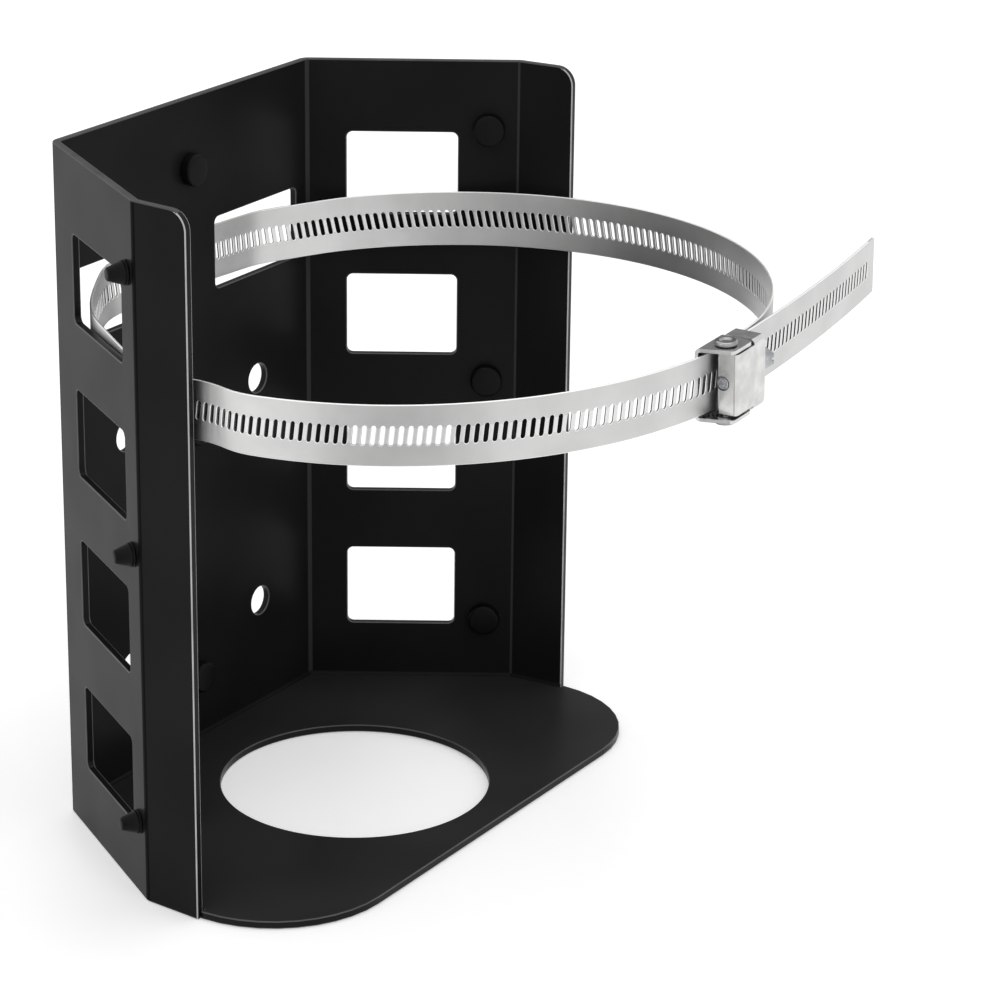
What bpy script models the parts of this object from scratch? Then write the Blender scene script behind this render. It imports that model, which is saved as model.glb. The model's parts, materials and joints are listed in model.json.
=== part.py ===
"""Gas cylinder bracket: a folded wall channel with a base plate, rubber bumpers and a worm-drive band.

Metres, +Z up. X runs along the wall and the cylinder stands on the -Y side. The origin is on the wall
face, in the middle of the four mounting holes. Heights below are above the underside of the base.
"""

import math

import bmesh
import bpy
from mathutils import Matrix, Vector

SEAT_GAP = 0.0003  # left between pieces that seat on each other
BORE_GAP = 0.0003  # left round a pin in its hole

# Folded shell: back wall, flanks and front flanges of one sheet
SHELL_HEIGHT = 0.200
SHELL_SHEET = 0.0022
BEND_RADIUS = 0.0015  # inside each fold
WALL_WIDTH = 0.118  # between the sharp outer corners
FLANK_LENGTH = 0.065
FLANK_ANGLE = math.radians(57.5)  # from the wall
FLANGE_LENGTH = 0.0183
FLANGE_ANGLE = math.radians(28.2)  # further than the flank
FLANGE_CORNER_RADIUS = 0.0055

# Windows in the flanks, measured along the outer face from the wall corner
FLANK_WINDOW_COUNT = 4
FLANK_WINDOW_HEIGHT = 0.0252
FLANK_WINDOW_TOP_MARGIN = 0.022
FLANK_WINDOW_BOTTOM_MARGIN = 0.0198
RIGHT_WINDOW_START = 0.0131
RIGHT_WINDOW_LENGTH = 0.0333
LEFT_WINDOW_START = 0.0156
LEFT_WINDOW_LENGTH = 0.0396
WINDOW_CORNER_RADIUS = 0.0019

# Windows in the back wall that the band passes through
BAND_WINDOW_HEIGHT = 0.0216
BAND_WINDOW_DROP = 0.0488  # from the top of the shell to the window's middle
BAND_WINDOW_INNER = 0.0116  # from the middle of the wall
BAND_WINDOW_EDGE = 0.007  # from the wall corner

# Mounting holes in the back wall
MOUNT_HOLE_DIAMETER = 0.009
MOUNT_HOLE_HALF_SPACING = 0.0318
MOUNT_HOLE_UPPER_DROP = 0.09265  # from the top of the shell
MOUNT_HOLE_LOWER = 0.0356

# Base plate
BASE_THICKNESS = 0.0022
BASE_REACH = 0.1088  # from the wall face to the front edge
BASE_HALF_WIDTH = 0.0943  # in front of the flanges
BASE_CORNER_RADIUS = 0.0345
BASE_HOLE_DIAMETER = 0.079
BASE_FRONT_WEB = 0.00995  # between the hole and the front edge
BASE_SIDE_LEFT = 0.0002  # straight side left behind a front corner

# Rubber bumpers, pushed through the sheet from inside
BUMPER_COUNT = 3  # on each wall
BUMPER_TOP_MARGIN = 0.0208
BUMPER_BOTTOM_MARGIN = 0.0218
BUMPER_RIGHT_DISTANCE = 0.0556  # along the flank from the wall corner
BUMPER_LEFT_DISTANCE = 0.0594
BUMPER_HEAD_DIAMETER = 0.0096
BUMPER_HEAD_THICKNESS = 0.003
BUMPER_HEAD_EDGE = 0.00075  # bevel round the face of the head
BUMPER_NECK_DIAMETER = 0.0044
BUMPER_BARB_DIAMETER = 0.007
BUMPER_TAIL_DIAMETER = 0.0064
BUMPER_TIP_DIAMETER = 0.0038
BUMPER_TIP_EDGE = 0.00057
BUMPER_BARB_LENGTH = 0.0006
BUMPER_TAIL_LENGTH = 0.0054
BUMPER_TRIMMED_LENGTH = 0.001  # on the back wall, where the tail is cut off to mount flat

# Slotted band
BAND_WIDTH = 0.0165
BAND_THICKNESS = 0.0007
SLOT_PITCH = 0.00241
SLOT_LENGTH = 0.0053
SLOT_WIDTH = 0.0012
SLOT_SLANT = math.radians(9)
LOOP_SIDE_PLAY = 0.0016  # half the loop's width is this much less than inside the flanges
LOOP_SHIFT = -0.00277  # of the loop's middle along the wall
LOOP_HALF_DEPTH = 0.09736
LOOP_CENTRE = 0.08476  # from the wall face
LOOP_BACK_START = 0.019  # from the wall face to where the loop turns to the windows
LOOP_FRONT_END = math.radians(76)  # round the loop from its sides to the buckle
LOOP_POINTS = 60  # on each side
ENTRY_DISTANCE = 0.011  # in front of the wall face, where the band heads for its window
ENTRY_OUTSIDE = 0.005  # past the window's outer jamb
WALL_LEAVE = 0.0155  # from the outer jamb to where the band lies flat behind the wall
PATH_STEP = 0.001
EASE_PASSES = 2
EASE_POINTS = 5  # on each side of a point
BAND_RISE_RIGHT = 0.045  # the loop slopes up to the right
BAND_RISE_FRONT = 0.033  # and up to the front
BAND_SAG = 0.00375  # of the loop's middle line at the wall below the windows' middle
BAND_LIFT = 0.0052  # over the sill of the left window
BAND_LIFT_REACH = 0.09
FLANK_CLEARANCE = 0.001  # from the band's middle to the flanks and flanges
FLANGE_PASS = 0.009  # how far past the flanges the band stays in line with them
TAIL_LENGTH = 0.0845
TAIL_RADIUS = 0.604
TAIL_START_ANGLE = math.radians(1.15)  # inwards, where it leaves the buckle
TAIL_POINTS = 12
TAIL_CORNER_RADIUS = 0.001

# Buckle, in its own frame: x along the band, y inwards, z across the band
BUCKLE_PLACE = -0.007  # along X
BUCKLE_SETBACK = 0.0004  # of the outer layer from the loop's front
BUCKLE_STRAIGHT = 0.0066  # the band stays flat this far to the right of the housing
BAND_TIP_INSET = 0.0015  # the outer layer is flat from here inside the saddle's tip
INNER_END_INSET = 0.0055  # of the fixed end from the saddle's tip
SADDLE_SHEET = 0.001
SADDLE_BEND_RADIUS = 0.0006
SADDLE_SIDE_PLAY = 0.0009  # between the band's edge and an ear
SADDLE_TIP = 0.0101  # from the buckle's middle to its left tip
SADDLE_TIP_EDGE = 0.0016  # straight edge at the tip
SADDLE_TIP_RADIUS = 0.001
SADDLE_LEFT = 0.0075  # to the left front corner
SADDLE_LEFT_RADIUS = 0.0015
SADDLE_RIGHT = 0.0026
SADDLE_RIGHT_RADIUS = 0.0015
SADDLE_OVERHANG = 0.0001  # of the ears past the housing's face
HOUSING_SHEET = 0.0007
HOUSING_LEFT = 0.0058  # from the buckle's middle
HOUSING_RIGHT = 0.0102
HOUSING_DEPTH = 0.0061
HOUSING_HEIGHT = 0.017
HOUSING_EDGE_RADIUS = 0.001
HOUSING_OPEN_GAP = 0.00115  # between the band and the housing's open side
GUIDE_LENGTH = 0.0088  # of the guide tabs, over the band's edges
GUIDE_GAP = 0.001  # beside the ears, which the tabs swing past
PIVOT_SETBACK = 0.002  # from the housing's left face
PIVOT_OFFSET = 0.00015  # of the pivot behind the worm's axis
PIVOT_DIAMETER = 0.0022
RIVET_HEAD_DIAMETER = 0.0062
RIVET_HEAD_HEIGHT = 0.0011
RIVET_RIM_HEIGHT = 0.00044  # of the rolled rim above the dimple and the head's edge
RIVET_RIM_DIAMETER = 0.005
RIVET_RIM_BORE = 0.0038
RIVET_DIMPLE_DIAMETER = 0.0028
WORM_CLEARANCE = 0.00035  # between the thread and the band
WORM_DIAMETER = 0.0053
WORM_ROOT_DIAMETER = 0.0037
WORM_BOSS_DIAMETER = 0.0034
WORM_BOSS_STAND = 0.0002
WORM_SHANK_DIAMETER = 0.0038
WORM_NECK_LENGTH = 0.0012
WORM_HEAD_ACROSS_FLATS = 0.005
WORM_HEAD_LENGTH = 0.0062
WORM_SLOT_WIDTH = 0.0009
WORM_SLOT_DEPTH = 0.0012
THREAD_CREST = 1.4  # flattens the crests
THREAD_ANGLE_STEPS = 16
THREAD_STEPS_A_TURN = 6

CUTTER_MARGIN = 0.004  # past the faces that a cutter runs through
ARC_STEP = math.radians(15)
MERGE_DISTANCE = 0.00001

wall_half = WALL_WIDTH / 2
band_half = BAND_WIDTH / 2
mount_hole_upper = SHELL_HEIGHT - MOUNT_HOLE_UPPER_DROP
origin_height = (mount_hole_upper + MOUNT_HOLE_LOWER) / 2
band_window_centre = SHELL_HEIGHT - BAND_WINDOW_DROP
band_window_outer = wall_half - BAND_WINDOW_EDGE


def start_scene():
    for old in list(bpy.data.objects):
        bpy.data.objects.remove(old, do_unlink=True)
    made = {}
    for name in ("gas_cylinder_bracket", "cutters"):
        made[name] = bpy.data.collections.new(name)
        bpy.context.scene.collection.children.link(made[name])
    made["cutters"].hide_render = True
    return made["gas_cylinder_bracket"], made["cutters"]


def material(name, colour, roughness, metallic):
    made = bpy.data.materials.new(name)
    made.use_nodes = True
    shader = made.node_tree.nodes["Principled BSDF"]
    shader.inputs["Base Color"].default_value = (*colour, 1)
    shader.inputs["Roughness"].default_value = roughness
    shader.inputs["Metallic"].default_value = metallic
    made.diffuse_color = (*colour, 1)
    return made


def add(name, mesh, look, parent=None):
    """A sub-part that takes its place in the object."""
    made = bpy.data.objects.new(name, mesh)
    parts.objects.link(made)
    mesh.materials.append(look)
    made.parent = parent
    return made


def helper(name, mesh, parent=None):
    """A cutter or a guide: it shapes the sub-parts and isn't one of them."""
    made = bpy.data.objects.new(name, mesh)
    cutters.objects.link(made)
    made.hide_render = True
    made.display_type = "WIRE"
    made.parent = parent
    return made


def mesh_of(build, name):
    bm = bmesh.new()
    build(bm)
    bmesh.ops.recalc_face_normals(bm, faces=bm.faces)
    if bm.calc_volume(signed=True) < 0:
        bmesh.ops.reverse_faces(bm, faces=bm.faces)
    made = bpy.data.meshes.new(name)
    bm.to_mesh(made)
    bm.free()
    return made


def plate(name, outline, low, high):
    """A flat outline in XY, as a slab from low to high along Z."""

    def build(bm):
        face = bm.faces.new([bm.verts.new((x, y, low)) for x, y in outline])
        raised = bmesh.ops.extrude_face_region(bm, geom=[face])["geom"]
        corners = [item for item in raised if isinstance(item, bmesh.types.BMVert)]
        bmesh.ops.translate(bm, verts=corners, vec=(0, 0, high - low))

    return mesh_of(build, name)


def strip(name, path, low, high, place):
    """An open sheet along a path. place(a, b, h) puts the path's point (a, b) at height h."""
    mesh = bpy.data.meshes.new(name)
    bm = bmesh.new()
    rows = [[bm.verts.new(place(a, b, h)) for h in (low, high)] for a, b in path]
    for (here_low, here_high), (next_low, next_high) in zip(rows, rows[1:]):
        bm.faces.new((here_low, next_low, next_high, here_high))
    bm.to_mesh(mesh)
    bm.free()
    return mesh


def cylinder(name, diameter, low, high, sides=32):
    def build(bm):
        bmesh.ops.create_cone(
            bm,
            cap_ends=True,
            segments=sides,
            radius1=diameter / 2,
            radius2=diameter / 2,
            depth=high - low,
            matrix=Matrix.Translation((0, 0, (low + high) / 2)),
        )

    return mesh_of(build, name)


def profile(name, points):
    """A half outline at +X, from the top down, for a turned piece."""
    made = bpy.data.meshes.new(name)
    edges = [(i, i + 1) for i in range(len(points) - 1)]
    made.from_pydata([(x, 0, z) for x, z in points], edges, [])
    return made


def corner_arc(before, corner, after, radius):
    """The points that round one corner of a path."""
    into = (corner - before).normalized()
    out = (after - corner).normalized()
    turn = into.angle_signed(out)
    if radius <= 0 or abs(turn) < math.radians(1):
        return [corner]
    reach = radius * math.tan(abs(turn) / 2)
    start = corner - into * reach
    side = Vector((-into.y, into.x)) * (-1 if turn > 0 else 1)
    centre = start + side * radius
    steps = max(2, round(abs(turn) / ARC_STEP))
    points = []
    for step in range(steps + 1):
        swing = Matrix.Rotation(-turn * step / steps, 2)
        points.append(centre + swing @ (start - centre))
    return points


def rounded(points, radii, closed=True):
    """A path with its corners rounded, each by its own radius."""
    corners = [Vector(point) for point in points]
    count = len(corners)
    path = []
    for i, radius in enumerate(radii):
        if not closed and i in (0, count - 1):
            path.append(corners[i])
            continue
        path += corner_arc(corners[i - 1], corners[i], corners[(i + 1) % count], radius)
    return path


def box_outline(left, right, back, front):
    return [(left, front), (right, front), (right, back), (left, back)]


def boolean(target, other, operation="DIFFERENCE"):
    modifier = target.modifiers.new(other.name, "BOOLEAN")
    modifier.operation = operation
    modifier.object = other
    modifier.solver = "EXACT"


def solidify(target, thickness, offset):
    modifier = target.modifiers.new("sheet", "SOLIDIFY")
    modifier.thickness = thickness
    modifier.offset = offset
    modifier.use_even_offset = True


def turn(target, steps):
    modifier = target.modifiers.new("turned", "SCREW")
    modifier.steps = steps
    modifier.render_steps = steps
    modifier.use_merge_vertices = True
    modifier.merge_threshold = MERGE_DISTANCE
    modifier.use_smooth_shade = True


def smooth(target):
    target.data.shade_smooth()
    target.data.set_sharp_from_angle(angle=math.radians(35))


def above_base(height):
    """World Z of a height above the underside of the base."""
    return height - origin_height


def spread(low, high, count):
    """Evenly spaced places from low to high."""
    return [low + (high - low) * i / (count - 1) for i in range(count)]


def shell_corners(inset):
    """Right half of the shell's plan, moved in from its outer face: wall corner, fold, flange end."""
    flange_turn = FLANK_ANGLE + FLANGE_ANGLE
    corner = Vector((wall_half, 0))
    along_flank = Vector((math.cos(FLANK_ANGLE), -math.sin(FLANK_ANGLE)))
    along_flange = Vector((math.cos(flange_turn), -math.sin(flange_turn)))
    fold = corner + along_flank * FLANK_LENGTH
    end = fold + along_flange * FLANGE_LENGTH
    corner_in = Vector((-math.tan(FLANK_ANGLE / 2), -1)) * inset
    bisector = (along_flank + along_flange).normalized()
    fold_in = Vector((bisector.y, -bisector.x)) * inset / math.cos(FLANGE_ANGLE / 2)
    end_in = Vector((along_flange.y, -along_flange.x)) * inset
    return corner + corner_in, fold + fold_in, end + end_in


def flank_frame(side):
    """Wall corner, direction along the flank and outward normal, for side -1 (left) or 1 (right)."""
    corner = Vector((side * wall_half, 0, 0))
    along = Vector((side * math.cos(FLANK_ANGLE), -math.sin(FLANK_ANGLE), 0))
    outward = Vector((side * math.sin(FLANK_ANGLE), math.cos(FLANK_ANGLE), 0))
    return corner, along, outward


def wall_cutter(name, outline, place, outward):
    """A prism through a standing wall, centred at a place on its outer face."""
    depth = SHELL_SHEET + CUTTER_MARGIN
    cutter = helper(name, plate(name, outline, -depth, depth))
    across = Vector((0, 0, 1)).cross(outward)
    cutter.matrix_world = Matrix.Translation(place) @ Matrix(
        (
            (across.x, 0, outward.x, 0),
            (across.y, 0, outward.y, 0),
            (0, 1, 0, 0),
            (0, 0, 0, 1),
        )
    )
    return cutter


def window_cutter(name, length, height, place, outward):
    outline = box_outline(-length / 2, length / 2, height / 2, -height / 2)
    outline = rounded(outline, [WINDOW_CORNER_RADIUS] * 4)
    return wall_cutter(name, outline, place, outward)


def round_cutter(name, diameter, place, outward, sides):
    angles = [2 * math.pi * i / sides for i in range(sides)]
    outline = [(math.cos(a) * diameter / 2, math.sin(a) * diameter / 2) for a in angles]
    return wall_cutter(name, outline, place, outward)


def bumper_seats():
    """Name, place on the outer face and outward normal of each bumper."""
    heights = spread(SHELL_HEIGHT - BUMPER_TOP_MARGIN, BUMPER_BOTTOM_MARGIN, BUMPER_COUNT)
    seats = []
    for number, height in enumerate(heights, 1):
        up = Vector((0, 0, above_base(height)))
        seats.append((f"bumper_back_{number}", up, Vector((0, 1, 0))))
        for side, name, distance in (
            (-1, "left", BUMPER_LEFT_DISTANCE),
            (1, "right", BUMPER_RIGHT_DISTANCE),
        ):
            corner, along, outward = flank_frame(side)
            seats.append((f"bumper_{name}_{number}", corner + along * distance + up, outward))
    return seats


def shell_cutters():
    made = []
    back = Vector((0, 1, 0))
    top = SHELL_HEIGHT - FLANK_WINDOW_TOP_MARGIN - FLANK_WINDOW_HEIGHT / 2
    bottom = FLANK_WINDOW_BOTTOM_MARGIN + FLANK_WINDOW_HEIGHT / 2
    for side, start, length in (
        (-1, LEFT_WINDOW_START, LEFT_WINDOW_LENGTH),
        (1, RIGHT_WINDOW_START, RIGHT_WINDOW_LENGTH),
    ):
        corner, along, outward = flank_frame(side)
        for height in spread(top, bottom, FLANK_WINDOW_COUNT):
            place = corner + along * (start + length / 2)
            place.z = above_base(height)
            made.append(
                window_cutter("flank_window", length, FLANK_WINDOW_HEIGHT, place, outward)
            )
        length = band_window_outer - BAND_WINDOW_INNER
        middle = side * (band_window_outer + BAND_WINDOW_INNER) / 2
        place = Vector((middle, 0, above_base(band_window_centre)))
        made.append(window_cutter("band_window", length, BAND_WINDOW_HEIGHT, place, back))
        for height in (mount_hole_upper, MOUNT_HOLE_LOWER):
            place = Vector((side * MOUNT_HOLE_HALF_SPACING, 0, above_base(height)))
            made.append(round_cutter("mount_hole", MOUNT_HOLE_DIAMETER, place, back, 24))
    bore = BUMPER_NECK_DIAMETER + 2 * BORE_GAP
    for name, place, outward in bumper_seats():
        made.append(round_cutter(name + "_hole", bore, place, outward, 14))
    return made


def make_shell(look):
    outer_radius = BEND_RADIUS + SHELL_SHEET
    right = shell_corners(0)
    left = [Vector((-point.x, point.y)) for point in reversed(right)]
    radii = [0, outer_radius, outer_radius]
    path = rounded([*left, *right], radii + radii[::-1], closed=False)
    low = above_base(0)
    high = above_base(SHELL_HEIGHT)
    mesh = strip("folded_shell", path, low, high, lambda x, y, z: (x, y, z))
    bm = bmesh.new()
    bm.from_mesh(mesh)
    bm.verts.ensure_lookup_table()
    bmesh.ops.bevel(
        bm,
        geom=[bm.verts[1], bm.verts[-1]],
        offset=FLANGE_CORNER_RADIUS,
        offset_type="OFFSET",
        segments=6,
        profile=0.5,
        affect="VERTICES",
    )
    bm.to_mesh(mesh)
    bm.free()
    shell = add("folded_shell", mesh, look)
    solidify(shell, SHELL_SHEET, 1)
    for cutter in shell_cutters():
        boolean(shell, cutter)
    smooth(shell)
    return shell


def make_base(look):
    corner, fold, end = shell_corners(SHELL_SHEET + SEAT_GAP)
    step = end.y - SEAT_GAP
    right = [
        corner,
        fold,
        Vector((end.x, step)),
        Vector((BASE_HALF_WIDTH, step)),
        Vector((BASE_HALF_WIDTH, -BASE_REACH)),
    ]
    left = [Vector((-point.x, point.y)) for point in reversed(right)]
    front_corner = min(BASE_CORNER_RADIUS, BASE_REACH + step - BASE_SIDE_LEFT)
    radii = [BEND_RADIUS, 0, 0, 0, front_corner]
    outline = rounded(right + left, radii + radii[::-1])
    base = add("base_plate", plate("base_plate", outline, 0, BASE_THICKNESS), look)
    base.location.z = above_base(0)
    low = -CUTTER_MARGIN
    hole = helper(
        "base_hole",
        cylinder("base_hole", BASE_HOLE_DIAMETER, low, BASE_THICKNESS - low, 56),
    )
    centre = BASE_REACH - BASE_FRONT_WEB - BASE_HOLE_DIAMETER / 2
    hole.location = (0, -centre, above_base(0))
    boolean(base, hole)
    smooth(base)
    return base


def bumper_mesh(trimmed, look):
    """Turned along +Z, which points out of the wall, with the wall's outer face at z = 0."""
    head = BUMPER_HEAD_DIAMETER / 2
    neck = BUMPER_NECK_DIAMETER / 2
    barb = BUMPER_BARB_DIAMETER / 2
    tail = BUMPER_TAIL_DIAMETER / 2
    tip = BUMPER_TIP_DIAMETER / 2
    inside = -SHELL_SHEET - SEAT_GAP
    face = inside - BUMPER_HEAD_THICKNESS
    if trimmed:
        outside = [(0, BUMPER_TRIMMED_LENGTH), (tail, BUMPER_TRIMMED_LENGTH)]
    else:
        outside = [
            (0, BUMPER_TAIL_LENGTH),
            (tip - BUMPER_TIP_EDGE, BUMPER_TAIL_LENGTH),
            (tip, BUMPER_TAIL_LENGTH - BUMPER_TIP_EDGE),
            (tail, 2 * BUMPER_BARB_LENGTH),
        ]
    through = [(barb, BUMPER_BARB_LENGTH), (barb, SEAT_GAP), (neck, SEAT_GAP), (neck, inside)]
    within = [
        (head, inside),
        (head, face + BUMPER_HEAD_EDGE),
        (head - BUMPER_HEAD_EDGE, face),
        (0, face),
    ]
    made = profile("bumper", outside + through + within)
    made.materials.append(look)
    return made


def make_bumpers(look):
    whole = bumper_mesh(False, look)
    trimmed = bumper_mesh(True, look)
    for name, place, outward in bumper_seats():
        bumper = bpy.data.objects.new(name, trimmed if "back" in name else whole)
        parts.objects.link(bumper)
        bumper.location = place
        bumper.rotation_euler = outward.to_track_quat("Z", "Y").to_euler()
        turn(bumper, 14)


def half_width_inside(y):
    """Half the width between the flanks or flanges at a distance in front of the wall."""
    corner, fold, end = shell_corners(SHELL_SHEET)
    if y < end.y - FLANGE_PASS:
        return math.inf
    if y < fold.y:
        return min(fold.x, end.x)
    return corner.x + (fold.x - corner.x) * (y - corner.y) / (fold.y - corner.y)


def loop_point(angle):
    """A point of the free loop, kept clear of the flanks."""
    _, _, end = shell_corners(SHELL_SHEET)
    x = LOOP_SHIFT + (end.x - LOOP_SIDE_PLAY) * math.cos(angle)
    y = -LOOP_CENTRE + LOOP_HALF_DEPTH * math.sin(angle)
    limit = half_width_inside(y) - FLANK_CLEARANCE
    return Vector((max(-limit, min(limit, x)), y))


def buckle_line():
    """Y of the band's outer layer where it lies flat in the buckle."""
    return -LOOP_CENTRE - LOOP_HALF_DEPTH + BUCKLE_SETBACK


def band_plan():
    """The band's middle line from its fixed inner end, round the loop and out to the free end."""
    outer = buckle_line()
    inner = outer + BAND_THICKNESS + SEAT_GAP
    behind = BAND_THICKNESS / 2 + SEAT_GAP
    tip = BUCKLE_PLACE - SADDLE_TIP
    right = BUCKLE_PLACE + HOUSING_RIGHT + BUCKLE_STRAIGHT
    leave = band_window_outer - WALL_LEAVE
    enter = band_window_outer + ENTRY_OUTSIDE
    back = math.asin((LOOP_CENTRE - LOOP_BACK_START) / LOOP_HALF_DEPTH)
    plan = [Vector((tip + INNER_END_INSET, inner)), Vector((right, inner))]
    plan += [loop_point(angle) for angle in spread(-LOOP_FRONT_END, back, LOOP_POINTS)]
    plan += [Vector((enter, -ENTRY_DISTANCE)), Vector((leave, behind))]
    plan += [Vector((-leave, behind)), Vector((-enter, -ENTRY_DISTANCE))]
    left_arc = spread(math.pi - back, math.pi + LOOP_FRONT_END, LOOP_POINTS)
    plan += [loop_point(angle) for angle in left_arc]
    start = Vector((right, outer))
    plan += [Vector((tip + BAND_TIP_INSET, outer)), start]
    for turned in spread(0, TAIL_LENGTH / TAIL_RADIUS, TAIL_POINTS)[1:]:
        heading = TAIL_START_ANGLE + turned
        reach = math.sin(heading) - math.sin(TAIL_START_ANGLE)
        inwards = math.cos(TAIL_START_ANGLE) - math.cos(heading)
        plan.append(start + Vector((reach, inwards)) * TAIL_RADIUS)
    return plan


def resampled(points, step):
    """Points at even distances along a path."""
    lengths = [0.0]
    for here, after in zip(points, points[1:]):
        lengths.append(lengths[-1] + (after - here).length)
    count = round(lengths[-1] / step)
    places = []
    i = 0
    for wanted in spread(0, lengths[-1], count + 1):
        while i < len(points) - 2 and lengths[i + 1] < wanted:
            i += 1
        share = (wanted - lengths[i]) / (lengths[i + 1] - lengths[i])
        places.append(points[i].lerp(points[i + 1], share))
    return places


def eased(points, reach):
    """Each point moved to the mean of its neighbours within reach, as spring steel rounds a corner."""
    last = len(points) - 1
    result = []
    for i in range(last + 1):
        near = min(reach, i, last - i)
        window = points[i - near : i + near + 1]
        result.append(sum(window, Vector((0, 0))) / len(window))
    return result


def band_height(x, y):
    """Height of the band's middle line: a sloping loop, lifted over the left window's sill."""
    sill = Vector((-(band_window_outer + BAND_WINDOW_INNER) / 2, 0))
    near = min((Vector((x, y)) - sill).length / BAND_LIFT_REACH, 1)
    lift = BAND_LIFT * math.cos(near * math.pi / 2) ** 2
    return band_window_centre - BAND_SAG + BAND_RISE_RIGHT * x - BAND_RISE_FRONT * y + lift


def band_path():
    plan = resampled(band_plan(), PATH_STEP)
    for _ in range(EASE_PASSES):
        plan = eased(plan, EASE_POINTS)
    plan = resampled(plan, SLOT_PITCH)
    points = [(p.x, p.y, above_base(band_height(p.x, p.y))) for p in plan]
    curve = bpy.data.curves.new("band_path", "CURVE")
    curve.dimensions = "3D"
    curve.twist_mode = "Z_UP"
    spline = curve.splines.new("POLY")
    spline.points.add(len(points) - 1)
    for point, place in zip(spline.points, points):
        point.co = (*place, 1)
    return helper("band_path", curve), len(points) - 3


def slot_cell():
    """One pitch of the flat band with its slanted slot: four faces round the opening."""
    lean = math.tan(SLOT_SLANT) * SLOT_LENGTH / 2
    middle = SLOT_PITCH / 2
    half = SLOT_LENGTH / 2
    rim = [(0, -band_half), (SLOT_PITCH, -band_half), (SLOT_PITCH, band_half), (0, band_half)]
    slot = [
        (middle - lean - SLOT_WIDTH / 2, -half),
        (middle - lean + SLOT_WIDTH / 2, -half),
        (middle + lean + SLOT_WIDTH / 2, half),
        (middle + lean - SLOT_WIDTH / 2, half),
    ]
    points = [(x, 0, z) for x, z in rim + slot]
    faces = [(i, (i + 1) % 4, 4 + (i + 1) % 4, 4 + i) for i in range(4)]
    made = bpy.data.meshes.new("clamp_band")
    made.from_pydata(points, [], faces)
    return made


def end_blank(name, reach, radius):
    """The unslotted end of the band, past the last slot."""
    outline = [(0, -band_half), (reach, -band_half), (reach, band_half), (0, band_half)]
    outline = rounded(outline, [0, radius, radius, 0])
    made = bpy.data.meshes.new(name)
    made.from_pydata([(x, 0, z) for x, z in outline], [], [tuple(range(len(outline)))])
    return helper(name, made)


def make_band(look):
    band = add("clamp_band", slot_cell(), look)
    path, count = band_path()
    array = band.modifiers.new("slots", "ARRAY")
    array.count = count
    array.use_relative_offset = False
    array.use_constant_offset = True
    array.constant_offset_displace = (SLOT_PITCH, 0, 0)
    array.use_merge_vertices = True
    array.merge_threshold = MERGE_DISTANCE
    array.end_cap = end_blank("free_end", 2 * SLOT_PITCH, TAIL_CORNER_RADIUS)
    bend = band.modifiers.new("loop", "CURVE")
    bend.object = path
    solidify(band, BAND_THICKNESS, 0)
    return band


def make_saddle(frame, look):
    ear_in = band_half + SADDLE_SIDE_PLAY
    ear_out = ear_in + SADDLE_SHEET
    back = BAND_THICKNESS / 2 + SEAT_GAP + BAND_THICKNESS + SEAT_GAP + SADDLE_SHEET
    front = housing_face - SADDLE_OVERHANG
    bend = SADDLE_BEND_RADIUS + SADDLE_SHEET
    section = [(front, ear_out), (back, ear_out), (back, -ear_out), (front, -ear_out)]
    path = rounded(section, [0, bend, bend, 0], closed=False)
    reach = SADDLE_TIP + CUTTER_MARGIN
    mesh = strip("buckle_saddle", path, -reach, reach, lambda y, z, x: (x, y, z))
    saddle = add("buckle_saddle", mesh, look, frame)
    solidify(saddle, SADDLE_SHEET, 1)
    plan = [
        (-SADDLE_TIP, back + CUTTER_MARGIN),
        (-SADDLE_TIP, back - SADDLE_TIP_EDGE),
        (-SADDLE_LEFT, front),
        (SADDLE_RIGHT, front),
        (SADDLE_RIGHT, back + CUTTER_MARGIN),
    ]
    radii = [0, SADDLE_TIP_RADIUS, SADDLE_LEFT_RADIUS, SADDLE_RIGHT_RADIUS, 0]
    low = -ear_out - CUTTER_MARGIN
    outline = plate("saddle_outline", rounded(plan, radii), low, -low)
    boolean(saddle, helper("saddle_outline", outline, frame), "INTERSECT")
    bore = cylinder("saddle_bore", PIVOT_DIAMETER + 2 * BORE_GAP, low, -low, 20)
    bore = helper("saddle_bore", bore, frame)
    bore.location = pivot_place
    boolean(saddle, bore)
    smooth(saddle)
    return ear_out


def make_rivets(frame, ear_out, look):
    """Two short rivets on the pivot axis, each with a rolled head outside its ear."""
    pin = PIVOT_DIAMETER / 2
    head = RIVET_HEAD_DIAMETER / 2
    seat = ear_out + SEAT_GAP
    top = seat + RIVET_HEAD_HEIGHT
    points = [
        (0, top - RIVET_RIM_HEIGHT),
        (RIVET_DIMPLE_DIAMETER / 2, top - RIVET_RIM_HEIGHT),
        (RIVET_RIM_BORE / 2, top),
        (RIVET_RIM_DIAMETER / 2, top),
        (head, top - RIVET_RIM_HEIGHT),
        (head, seat),
        (pin, seat),
        (pin, HOUSING_HEIGHT / 2 - HOUSING_SHEET),
        (0, HOUSING_HEIGHT / 2 - HOUSING_SHEET),
    ]
    mesh = profile("pivot_rivet", points)
    mesh.materials.append(look)
    for name, flip in (("pivot_rivet_top", 0), ("pivot_rivet_bottom", math.pi)):
        rivet = bpy.data.objects.new(name, mesh)
        parts.objects.link(rivet)
        rivet.parent = frame
        rivet.location = pivot_place
        rivet.rotation_euler.x = flip
        turn(rivet, 20)


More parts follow.
